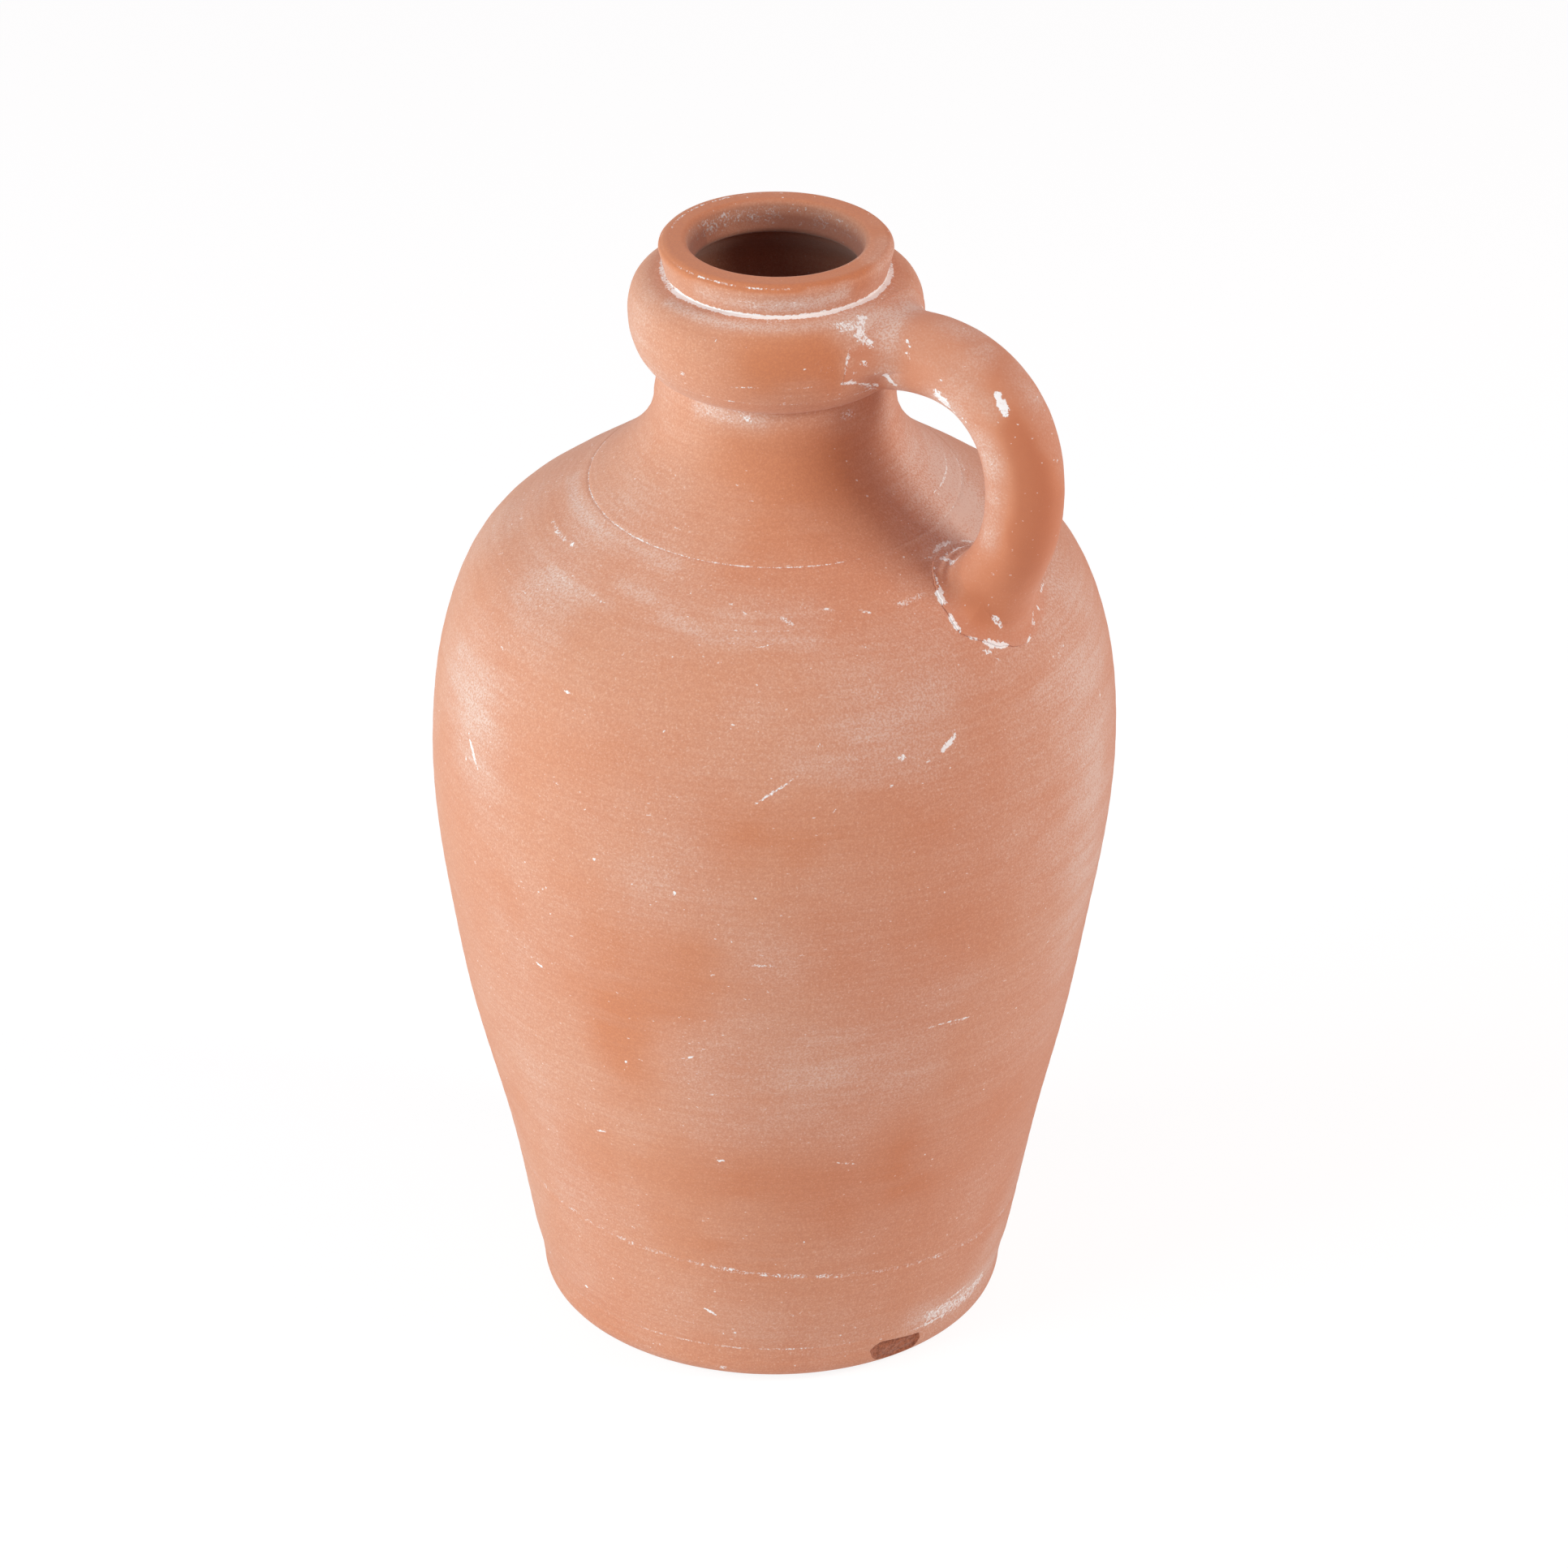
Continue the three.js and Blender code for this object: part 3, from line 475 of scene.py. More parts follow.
# Thin film of limewash: reach, strength, then azimuth, height of the patch's points. Below 0 it is rubbed off.
hazeMarks = [
    # swell, in front
    (16, 0.12, -42, 256, -38, 255, -28, 254), (9, 0.34, -41, 250, -34, 249, -28, 251),
    (10, 0.03, -64, 256, -56, 252, -48, 248), (6, 0.15, -52, 240.4, -44, 239.4, -31, 239),
    (11, 0.09, -34, 269, -22, 264), (6, 0.16, -67, 277, -58, 277, -49, 278), (14, 0.08, -82, 199, -72, 205),
    (9, 0.09, -59, 176, -53, 175), (14, 0.06, -49, 200, -40, 197), (9, 0.06, -62, 151, -55, 151),
    (9, 0.14, -26, 150, -20, 156), (19, 0.19, -66, 134, -49.4, 137, -31, 126),
    (10, 0.07, -67, 106, -54, 108.7), (14, 0.09, -46, 122, -41, 104), (8, 0.1, -1, 262, 5, 257),
    (10, 0.05, -60, 22, -48, 22),
    # swell, left
    (14, 0.38, -128.8, 237.5, -120, 233, -118, 222), (17, 0.12, -113, 250, -110, 264),
    (12, 0.14, -130, 272, -119, 271), (18, 0.045, -92, 254, -79, 250, -78, 238),
    (16, 0.12, -111, 202.6, -115, 227), (9, 0.1, -110, 166, -106, 160), (13, 0.15, -109, 106, -106, 98),
    (14, 0.12, -105, 72, -104, 60), (16, 0.08, -87, 284.5, -107, 290.8, -113, 277),
    (14, 0.1, -128, 300, -122, 284, -112, 275), (16, 0.15, -148, 276, -150, 262),
    (3, 0.3, -149, 286, -132, 286, -116, 286.4, -100, 286.6, -86, 285.6),
    (2.6, 0.24, -117, 274.6, -104, 274.8, -96, 274.4), (2.6, 0.22, -97, 279.1, -87.5, 278.3),
    (3, 0.22, -82, 275.5, -70, 272.5, -56, 273, -49, 272.2),
    # swell, right
    (30, 0.16, -8, 262, -2, 235, -6, 208), (22, 0.5, 19, 258, 15, 231, 12, 204, 12, 176),
    (18, 0.22, 12, 150, 9, 120), (14, 0.07, -20, 85, -4, 62),
    # back
    (17, 0.17, 140, 252, 158, 256, 172, 248), (14, 0.14, 84, 222, 98, 214), (18, 0.15, -172, 152, -158, 146),
    (15, 0.13, 112, 128, 128, 120), (12, 0.12, 66, 292, 96, 290), (16, -0.08, 108, 178, 122, 174),
    (16, -0.08, 176, 88, -168, 84),
    # shoulder behind the handle: pale film, laid stronger where the right lamp reaches through the handle's
    # loop, so partly painted light
    (12, 0.84, 19, 289, 13, 285, 8, 282), (11, 0.66, 9, 295, 5, 289, 1, 285), (8, 0.4, 9, 285, 5, 282.6),
    (13, 0.36, 18, 300, 17, 293, 30, 294), (14, 0.3, 44, 300, 38, 286, 46, 292),
    (5, 0.55, -7, 283, -1, 283.4, 5, 282),
    # foot
    (8, 0.48, -16, 15, -4, 13.6, 8, 15, 18, 18), (10, 0.22, 8, 30, 20, 50),
    # collar, neck and lip
    (2.2, 0.46, -112, 358.4, -84, 358.2, -59, 358.2, -32, 358.2), (14, 0.24, -123, 341, -126, 349),
    (6, 0.32, 8, 369.6, 26, 369.6), (6, 0.62, -22, 357, -10, 355.6, 3, 353.8, 12, 353.4, 20, 352),
    (4, 0.38, -95, 325.6, -83, 325.8, -66, 325.4), (4, 0.16, -27, 346, -25, 341, -16, 338),
    (6, 0.2, 12, 326, 10, 317), (4, 0.12, -60, 325.5, -40, 325.5, -16, 324),
    (3, 0.54, -96, 364.2, -75, 363.6, -56, 363.3, -34, 363.6, -22, 365),
    # rubbed clean; the right end of the neck rub and the weak rub near azimuth -12 also darken where the
    # handle's shadow falls, as painted shadow
    (17, -0.15, -84, 147, -68, 150), (14, -0.1, -82, 124, -76, 118), (15, -0.08, -74, 58, -56, 57, -66, 43),
    (12, -0.09, -29, 99, -25, 76), (11, -0.07, -69, 177, -64, 174), (14, -0.06, -22, 166, -8, 158),
    (11, -0.1, -59, 219, -51, 217), (14, -0.07, -24.7, 219.5, -29.3, 193.9),
    (16, -0.12, -66, 314, -54.5, 312, -34, 313), (11, -0.2, -60, 348, -42.3, 350, -32, 346),
    (15, -0.07, -62, 295, -48, 296, -36, 300), (12, -0.04, -12, 306, -10, 298, -14, 287),
    (5, -0.12, -28, 366, -8, 366), (2.4, -0.3, -158, 369.4, -128, 369.3, -98, 369.2, -70, 369.2, -46, 369.4),
]

# The same film on the handle, placed as its marks are.
handleHazeMarks = [
    (4, 0.26, 6, -111, 6.5, -115), (5, 0.3, 3, 178, 3.6, 178, 4.6, -178, 5.8, 178, 7, 172),
    (6, 0.1, 7.2, 176, 8.4, 174, 9.6, 172), (7, 0.08, 1.5, -140, 2.4, -120, 3.2, -105),
    (4, 0.44, 1.05, -160, 1.25, -169, 1.25, 175, 1.2, 150),
    (5, 0.38, 7.6, -72, 8.6, -76, 9.6, -68, 11, -62, 13, -66), (4, 0.3, 3.4, -60, 5.2, -52, 7, -58),
    # rubbed clean; towards the outer side of the loop, about -150 to -172 degrees round it, the deeper tone is
    # also painted shade on the side turned from the left lamp
    (6, -0.22, 7, -124, 8, -130, 9, -129, 10, -129, 10.8, -125, 12, -114), (5, -0.05, 14.5, -90, 16, -94),
    (5, -0.2, 19.2, -98, 20, -112), (7, -0.12, 9.4, -172, 10.8, -166, 12.9, -154, 14.4, -150),
    (6, -0.1, 4.6, -129, 5.4, -128), (6, -0.06, 13.5, -120, 16.5, -120),
]

# How the marks are laid on: films fade out, crusts end raggedly, and thin strokes start and end lightly.
brush = {
    "legSteps": 24, "filmReach": 2.2, "crustReach": 1.0, "fineReach": 1.6,
    "blobWidth": 3.0, "thinRange": 1.6, "endShape": 0.65, "endNarrow": 0.6, "endFade": 0.55,
    "edgeStart": 0.15, "edgeSoft": 0.6,
    "ragged": [(0.30, 1.1, 1), (0.16, 0.5, 2)], "broken": [(0.35, 2.3, 8)],
}


# points in millimetres along each mark
def trace(marks, place):
    traced = []
    for width, strength, *route in marks:
        route = np.array(route, float).reshape(-1, 2)
        legs = len(route) - 1
        share = np.linspace(0, legs, 1 + brush["legSteps"] * legs)
        steps = [np.interp(share, np.arange(len(route)), column) for column in route.T]
        traced.append((width, strength, place(*steps)))
    return traced


# which points are in the box round a line of spots
def boxed(points, spots, reach):
    low, high = spots.min(0) - reach, spots.max(0) + reach
    return np.nonzero(((points > low) & (points < high)).all(1))[0]


# distance from each point to a line of spots, and how far along the line that is
def reachOf(points, spots):
    best, along = np.full(len(points), 1e9), np.zeros(len(points))
    for number, (a, b) in enumerate(zip(spots[:-1], spots[1:])):
        way = b - a
        share = np.clip(((points - a) @ way) / max(way @ way, 1e-12), 0, 1)
        distance = np.linalg.norm(points - a - share[:, None] * way, axis=1)
        along = np.where(distance < best, (number + share) / (len(spots) - 1), along)
        best = np.minimum(best, distance)
    return best, along


# how far the films cover each point
def filmCover(points, traced):
    cover = np.zeros(len(points))
    for width, strength, spots in traced:
        near = boxed(points, spots, brush["filmReach"] * width)
        if len(near):
            value = strength * np.exp(-(reachOf(points[near], spots)[0] / width) ** 2)
            cover[near] = 1 - (1 - cover[near]) * (1 - value)
    return cover


# how far the crusts cover each point
def crustCover(points, traced):
    cover = np.zeros(len(points))
    for width, strength, spots in traced:
        near = boxed(points, spots, 0.5 * width + brush["crustReach"])
        if not len(near):
            continue
        distance, along = reachOf(points[near], spots)
        thin = np.clip((brush["blobWidth"] - width) / brush["thinRange"], 0, 1)
        ends = thin * (1 - np.sin(np.pi * along) ** brush["endShape"])
        reach = 0.5 * width * (1 - brush["endNarrow"] * ends) + brush["edgeStart"]
        ragged = width * roughAt(points[near], brush["ragged"])
        edge = np.clip((reach - distance - ragged) / brush["edgeSoft"], 0, 1)
        laid = strength * edge * (1 + roughAt(points[near], brush["broken"])) * (1 - brush["endFade"] * ends)
        cover[near] = np.maximum(cover[near], np.clip(laid, 0, 1))
    return cover


tracedLime, tracedHaze = trace(limeMarks, onSkin), trace(hazeMarks, onSkin)

# Chip knocked out of the foot, as azimuth and height round its edge.
chip = {
    "outline": [(-31.0, 8.6), (-30.0, 10.3), (-28.0, 11.2), (-24.5, 10.7), (-20.5, 10.0), (-16.6, 9.4),
                (-16.2, 7.4), (-17.4, 3.4), (-21.0, 2.4), (-25.5, 2.2), (-28.8, 3.4), (-30.4, 5.6)],
    "depth": 0.9, "slope": 0.8, "edgeSoft": 0.5, "fineReach": 2.0,
    "edgeRough": [(0.35, 1.6, 5)], "depthRough": [(0.45, 2.2, 6)],
}
chipAzimuth, chipHeight = np.array(chip["outline"] + chip["outline"][:1]).T
chipLoop = np.stack([np.radians(chipAzimuth) * p.footRadius, lengthAt(chipHeight)], 1)


# depth inside the chip's outline, positive inside, in millimetres
def insideChip(azimuth, length):
    points = np.stack([np.radians(azimuth) * p.footRadius, length], 1)
    points[:, 0] += roughAt(np.stack([points[:, 0], points[:, 1], 0 * length], 1), chip["edgeRough"])
    inside = np.zeros(len(points), bool)
    for a, b in zip(chipLoop[:-1], chipLoop[1:]):
        crosses = (a[1] > points[:, 1]) != (b[1] > points[:, 1])
        slope = (b[0] - a[0]) / (b[1] - a[1] if b[1] != a[1] else 1e-9)
        inside ^= crosses & (points[:, 0] < a[0] + slope * (points[:, 1] - a[1]))
    distance = reachOf(points, chipLoop)[0]
    return np.where(inside, distance, -distance)


# Rings of limewash: place on the skin, half width, how broken, then strengths at azimuths round the pot.
rings = {
    "lipGroove": (seam.lipWall - 0.6, 1.25, 0.35, [
        (-180, 0.5), (-150, 0.7), (-128, 0.6), (-116, 1.1), (-60, 1.15), (0, 1.1), (18, 0.9), (46, 0.7),
        (90, 0.5), (180, 0.5)]),
    "collarDust": (seam.lipWall - 2.6, 1.7, 0.25, [
        (-180, 0), (-125, 0.08), (-100, 0.20), (-60, 0.24), (-20, 0.22), (12, 0.26), (30, 0.1), (180, 0)]),
    "lipDust": (seam.lipWall + 4.0, 1.8, 0.25, [
        (-180, 0), (-92, 0.06), (-76, 0.28), (-40, 0.30), (-26, 0.14), (10, 0.05), (180, 0)]),
    "neckDust": (float(lengthAt(325.4)), 2.0, 0.25, [
        (-180, 0), (-100, 0.06), (-92, 0.15), (-68, 0.17), (-60, 0.06), (-40, 0.05), (-15, 0.10), (10, 0),
        (180, 0)]),
    "underCollar": (seam.collarLow + 1.3, 0.5, 0.4, [
        (-180, 0.4), (-110, 0.55), (-60, 0.5), (-30, 0.55), (-10, 0.7), (30, 0.6), (90, 0.4), (180, 0.4)]),
    "collarLine": (float(lengthAt(333.6)), 0.32, 0.5, [
        (-180, 0.35), (-110, 0.45), (-83, 0.48), (-56, 0.30), (-19, 0.42), (20, 0.4), (180, 0.35)]),
    "neckSeam": (neckSeamLength, 0.20, 0.32, [
        (-180, 0.45), (-145, 0.70), (-110, 0.68), (-85, 0.70), (-66, 0.78), (-38, 0.66), (-34, 0.25),
        (0, 0.3), (9, 0.55), (43, 0.6), (70, 0.35), (180, 0.45)]),
    "scoredRing": (scoredLength, 1.0, 0.45, [
        (-180, 0.22), (-105, 0.24), (-88, 0.32), (-70, 0.36), (-62, 0.46), (-56, 0.42), (-52, 0.34),
        (-42, 0.40), (-38, 0.26), (-28, 0.34), (-10, 0.36), (20, 0.24), (180, 0.22)]),
    "footLine": (float(lengthAt(13.9)), 0.34, 0.30, [
        (-180, 0.25), (-92, 0.3), (-84, 0.45), (-70, 0.55), (-50, 0.55), (-44, 0.35), (-20, 0.25),
        (180, 0.25)]),
    "lipCrease": (seam.lipRound + 2.1, 0.32, 0.50, [
        (-180, 0.1), (-122, 0.2), (-108, 0.6), (-60, 0.55), (-45, 0.25), (0, 0.1), (180, 0.1)]),
    "mouthEdge": (seam.mouthRound + 1.4, 0.4, 0.45, [
        (-180, 0), (-45, 0.1), (-38, 0.5), (0, 0.6), (8, 0.2), (60, 0), (180, 0)]),
    "lipBack": (seam.lipTop + 0.6, 0.4, 0.5, [
        (-180, 0.55), (-165, 0.45), (-150, 0), (100, 0), (122, 0.3), (150, 0.6), (180, 0.55)]),
    "mouthSalt": (seam.mouth + 2.4, 2.6, 0.35, [
        (-180, 0.36), (-160, 0.15), (-40, 0.05), (60, 0.22), (90, 0.30), (120, 0.22), (150, 0.38),
        (180, 0.36)]),
}
ringEdge = {
    "reach": 1.4, "start": 0.3, "soft": 0.6,
    "wander": [(0.35, 1.6, 51), (0.4, 9.0, 71)], "gaps": [(0.7, 3.2, 11), (0.5, 1.0, 31)],
}
# rings that are cut into the skin: depth, half width
cutRings = {
    "scoredRing": (0.2, 1.3), "neckSeam": (0.22, 0.6), "footLine": (0.14, 0.5), "lipCrease": (0.14, 0.6),
}


def ringLime(azimuth, length, points):
    cover = np.zeros(len(points))
    for number, (place, halfWidth, broken, strengths) in enumerate(rings.values()):
        away = np.abs(length - place - rowShift(azimuth, place))
        near = np.nonzero(away < halfWidth + ringEdge["reach"])[0]
        if not len(near):
            continue
        distance = away[near] + halfWidth * roughAt(points[near], ringEdge["wander"], number)
        gaps = broken * roughAt(points[near], ringEdge["gaps"], number)
        edge = np.clip((halfWidth + ringEdge["start"] - distance) / ringEdge["soft"], 0, 1)
        strength = np.interp((azimuth[near] + 180) % 360 - 180, *np.array(strengths, float).T)
        cover[near] = np.maximum(cover[near], np.clip(edge * (strength + gaps), 0, 1))
    return cover


# small reliefs of the skin: throwing lines, lumps and the cut rings
def relief(azimuth, length, points):
    lift = u.throwingDepth * np.sin(2 * np.pi * length / u.throwingPitch + np.radians(azimuth))
    lift = lift + roughAt(points, u.throwingRough)
    for name, (depth, halfWidth) in cutRings.items():
        place = rings[name][0]
        lift = lift - depth * np.exp(-((length - place - rowShift(azimuth, place)) / halfWidth) ** 2)
    return lift


sharpAngle = 48  # edges sharper than this stay crisp


def finishMesh(node, vertices, faces, material, paint):
    name = "clay_" + node
    mesh = bpy.data.meshes.new(name)
    mesh.from_pydata((vertices * mm).tolist(), [], faces)
    mesh.update()
    for label in painted:
        values = np.asarray(paint.get(label, np.zeros(len(vertices))), np.float32)
        mesh.attributes.new(label, "FLOAT", "POINT").data.foreach_set("value", values)
    mesh.shade_smooth()
    mesh.set_sharp_from_angle(angle=math.radians(sharpAngle))
    mesh.materials.append(material)
    piece = bpy.data.objects.new(name, mesh)
    bpy.context.scene.collection.objects.link(piece)
    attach(piece, "root")
    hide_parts(node)
    print("piece:", name, len(mesh.polygons), "faces")
    return piece


# faces of a tube from its grid of point numbers: quads, and fans that close its ends at two middle points
def tubeFaces(index, middle=None):
    around = np.roll(index, -1, 1)
    faces = np.stack([index[:-1], around[:-1], around[1:], index[1:]], -1).reshape(-1, 4).tolist()
    if middle:
        faces += [(middle, a, b) for a, b in zip(around[0].tolist(), index[0].tolist())]
        faces += [(middle + 1, a, b) for a, b in zip(index[-1].tolist(), around[-1].tolist())]
    return faces


# splits the faces near crusts so that thin scratches keep their edges; cuts per edge
def refine(vertices, faces, chosen, cuts):
    mesh = bpy.data.meshes.new("refined")
    mesh.from_pydata(vertices.tolist(), [], faces)
    edges = np.zeros(2 * len(mesh.edges), np.int32)
    mesh.edges.foreach_get("vertices", edges)
    picked = np.nonzero(chosen[edges.reshape(-1, 2)].all(1))[0]
    form = bmesh.new()
    form.from_mesh(mesh)
    form.edges.ensure_lookup_table()
    bmesh.ops.subdivide_edges(form, edges=[form.edges[i] for i in picked], cuts=cuts, use_grid_fill=True)
    bmesh.ops.triangulate(form, faces=[f for f in form.faces if len(f.verts) > 4])
    form.to_mesh(mesh)
    form.free()
    points = np.zeros(3 * len(mesh.vertices), np.float64)
    mesh.vertices.foreach_get("co", points)
    made = [tuple(q.vertices) for q in mesh.polygons]
    bpy.data.meshes.remove(mesh)
    return points.reshape(-1, 3), made


# Where the rows of a turned mesh lie closer: place, step, reach.
fineRows = [
    (scoredLength, 0.42, 2.4), (rings["footLine"][0], 0.3, 1.1), (neckSeamLength, 0.3, 1.6),
    (seam.collarLow, 0.4, 2.6), (rings["collarLine"][0], 0.35, 1.0), (seam.lipWall, 0.28, 2.2),
    (rings["lipCrease"][0], 0.3, 1.0), (seam.lower, 0.5, 3.0),
]
rowTrials = 4000


# places of the rows from one length to another: a plain step, closer near the fine rows
def rowsBetween(start, end, step):
    spots = np.linspace(start, end, rowTrials)
    density = np.full(len(spots), 1 / step)
    for place, small, reach in fineRows:
        density += (1 / small - 1 / step) * np.exp(-((spots - place) / reach) ** 4)
    grown = np.concatenate([[0], np.cumsum(0.5 * (density[1:] + density[:-1]) * np.diff(spots))])
    count = int(math.ceil(grown[-1]))
    return np.interp(np.linspace(0, grown[-1], count + 1), grown, spots)


# hidden rim of a piece: a groove in the lower piece, a tongue on the upper one, between outside and inside
def rimRows(length, lift):
    rows = []
    for share, deep in ((0.25, 0), (0.5, 1), (0.75, 0), (1.0, 0)):  # share of the wall, in the groove or not
        rise = lift - p.grooveDepth * p.wall * deep
        radius, height = skinAt(length, -p.wall * share)
        across, along = -np.interp(length, skinLength, skinUp), np.interp(length, skinLength, skinOut)
        rows.append((radius + across * rise, height + along * rise))
    return rows


# hidden rows of a wall: over its upper rim, down the inside and under its lower rim; the upper rim may be short
def wallRows(start, end, count, short=0.0):
    inside = [skinAt(s, -p.wall) for s in np.linspace(end, start, count + 2)[1:-1]]
    return rimRows(end - short, 0.0) + inside + rimRows(start, p.slip)[::-1]


# Painted shade inside the jug: how dark deep down and at the mouth, how it starts below the rim, and the side
# that the right lamp shines on, where it is lighter.
insideShade = {
    "deep": 0.6, "mouth": 0.72, "edge": 0.4, "fade": 6.0, "lessOnLitSide": 0.45, "litSide": 156.0, "litReach": 36.0,
}


# A turned piece: skin rows from one seam up to the next, then hidden rows (radius, height) that close
# it down the inside. Poles close a disc.
def turnedPiece(look):
    segments = p.segments
    lengths = rowsBetween(look["from"], look["to"], look["step"])
    azimuths = np.arange(segments) * 360 / segments - 180
    rowAzimuth, rowLength = np.meshgrid(azimuths, lengths)
    rowLength = rowLength + rowShift(rowAzimuth, rowLength)
    radius, height = skinAt(rowLength, 0.0)
    hidden = np.array(look["hidden"], float)
    radius = np.concatenate([radius, np.repeat(hidden[:, :1], segments, 1)])
    height = np.concatenate([height, np.repeat(hidden[:, 1:], segments, 1)])
    turn = np.radians(np.broadcast_to(azimuths, radius.shape))
    vertices = np.stack([radius * np.cos(turn), radius * np.sin(turn), height], -1).reshape(-1, 3)
    index = np.arange(len(vertices)).reshape(radius.shape)
    if look.get("poles"):  # the skin rows start from the middle below, the hidden rows end at the middle above
        faces = tubeFaces(index, len(vertices))
        vertices = np.concatenate([vertices, [(0, 0, height[0, 0]), (0, 0, height[-1, 0])]])
    else:
        faces = tubeFaces(np.concatenate([index, index[:1]]))
    length = np.full(len(vertices), np.nan)  # stays so where hidden
    length[:rowLength.size] = rowLength.reshape(-1)
    azimuth = np.degrees(np.arctan2(vertices[:, 1], vertices[:, 0]))
    shown = np.nonzero(~np.isnan(length))[0]

    if look["cuts"]:
        placed = skinPoint(azimuth[shown], length[shown])
        nearMark = np.zeros(len(vertices), bool)
        for width, _, spots in tracedLime:
            reach = 0.5 * width + brush["fineReach"]
            near = boxed(placed, spots, reach)
            if len(near):
                nearMark[shown[near]] |= reachOf(placed[near], spots)[0] < reach
        if look.get("chipped"):
            nearMark[shown] |= insideChip(azimuth[shown], length[shown]) > -chip["fineReach"]
        before = len(vertices)
        vertices, faces = refine(vertices, faces, nearMark, look["cuts"])
        length = np.concatenate([length, lengthAt(vertices[before:, 2])])
        azimuth = np.degrees(np.arctan2(vertices[:, 1], vertices[:, 0]))
        shown = np.nonzero(~np.isnan(length))[0]

    shownAzimuth, shownLength = azimuth[shown], length[shown]
    plain = skinPoint(shownAzimuth, shownLength)
    paint = {label: np.zeros(len(vertices)) for label in painted}
    # painted shade over the inner walls, lighter where the right lamp shines in and fading in below the mouth's
    # rim
    lessOnLitSide = 1 - insideShade["lessOnLitSide"] * np.clip(1 - np.abs(azimuth - insideShade["litSide"]) / insideShade["litReach"], 0, 1)
    fade = np.clip((shownLength - seam.mouthRound - insideShade["edge"]) / insideShade["fade"], 0, 1)
    paint["inside"] = insideShade["deep"] * lessOnLitSide
    paint["inside"][shown] = insideShade["mouth"] * fade * lessOnLitSide[shown]
    paint["limewash"][shown] = np.maximum(
        crustCover(plain, tracedLime), ringLime(shownAzimuth, shownLength, plain))
    paint["haze"][shown] = filmCover(plain, tracedHaze)
    if "rubbed" in look:
        paint["haze"][shown] -= np.interp(shownLength, *np.array(look["rubbed"]).T)
    lift = relief(shownAzimuth, shownLength, plain)
    if look.get("chipped"):
        deep = insideChip(shownAzimuth, shownLength)
        broken = np.clip(deep / chip["edgeSoft"] + 0.5, 0, 1)
        paint["scar"][shown] = broken
        paint["limewash"][shown] *= 1 - broken
        hollow = chip["depth"] * np.clip(deep / chip["slope"], 0, 1)
        lift = lift - hollow * (1 + roughAt(plain, chip["depthRough"]))
    finalPoints = handmade(np.hypot(vertices[:, 0], vertices[:, 1]), vertices[:, 2], azimuth)
    finalPoints[shown] = skinPoint(shownAzimuth, shownLength, lift)
    finalPoints[:, 2] = np.clip(finalPoints[:, 2], 0, p.topHeight)
    return finishMesh(look["node"], finalPoints, faces, thrownTerracotta, paint)


baseDisc = {
    "node": "base_disc", "from": seam.foot, "to": seam.lower, "step": 0.8, "cuts": 2, "chipped": True,
    "poles": True, "hidden": [(72.4, 9), (70.4, 6.76), (68.4, 9), (66.4, 9), (50, 9), (25, 9), (6, 9)],
}
lowerWall = {
    "node": "lower_wall", "from": seam.lower, "to": seam.shoulder, "step": 1.45, "cuts": 3,
    "chipped": True, "hidden": wallRows(seam.lower, seam.shoulder, count=30),
}
shoulderWall = {
    "node": "shoulder_wall", "from": seam.shoulder, "to": seam.sweepHigh, "step": 1.3, "cuts": 3,
    "hidden": wallRows(seam.shoulder, seam.sweepHigh, count=26),
}
neckRing = {
    "node": "neck_ring", "from": seam.sweepHigh, "to": seam.collarLow, "step": 0.8, "cuts": 1,
    "hidden": wallRows(seam.sweepHigh, seam.collarLow, count=16, short=0.02),
}
collar = {
    "node": "collar", "from": seam.collarLow, "to": seam.lipWall, "step": 0.6, "cuts": 1,
    "hidden": [(33.0, 359.2), (31.75, 357.8), (30.5, 359.2), (29.3, 359.2), (30.2, 357.2), (31.8, 355.2),
               (33.6, 353.0), (35.3, 350.8), (36.4, 348.6), (36.9, 346.4), (36.9, 343.5), (36.7, 339.5),
               (35.6, 336.4), (33.4, 333.4), (30.8, 330.6), (28.2, 327.8),
               (30.2, 327.8), (32.2, 325.56), (34.2, 327.8)],
}
lipRing = {
    "node": "lip_ring", "from": seam.lipWall, "to": seam.mouthEnd, "step": 0.45, "cuts": 0,
    "hidden": [(30.5, 359.5), (31.75, 358.1), (33.0, 359.5)],
    # fingers have rubbed the rim clean: length along the skin, how much
    "rubbed": [
        (seam.lipRound + 1, 0), (seam.lipRound + 3, 0.2), (seam.mouthRound, 0.2), (seam.mouthRound + 3, 0)],
}
turned = [turnedPiece(look) for look in (baseDisc, lowerWall, shoulderWall, neckRing, collar, lipRing)]
print("turned pieces:", len(turned))

# Handle pulled from one lump: a rounded section carried along the pull, trimmed where it meets the pot.
# Places along the pull are counted at its start, upper root, bend, lower root and end.
handleForm = {
    "node": "handle", "places": (0, 1, 11, 20, 21),
    "upperRoot": (45.7, 343.6), "reach": 91.6, "riseAngle": 9.8, "footAngle": 66.8, "footRatio": 0.91,
    "bendHeight": 0.46, "upperPull": (0.64, 0.36), "lowerPull": (0.23, 0.16), "rootDepth": 9.0,
    "thickness": 23.6, "width": 23.6, "taper": 0.06, "sway": 2.5, "flare": 0.24, "flareFrom": (3.4, 2.4),
    "squareness": 2.2, "lumps": [(0.18, 24.0, 41), (0.09, 6.0, 42), (0.03, 2.4, 44)],
    "pullMarks": [(0.08, 1.0, 43)], "marksRound": 3, "marksLong": 14,
    "rows": 250, "around": 170, "buried": 0.5, "trials": 2400,
}
h = SimpleNamespace(**handleForm)
upperRoot = np.array(h.upperRoot)
lowerRoot = bezier(*shoulderCurve, 2, 0, h.footRatio)[1]
leaving, landing = heading(h.riseAngle), heading(h.footAngle)
drop = upperRoot[1] - lowerRoot[1]
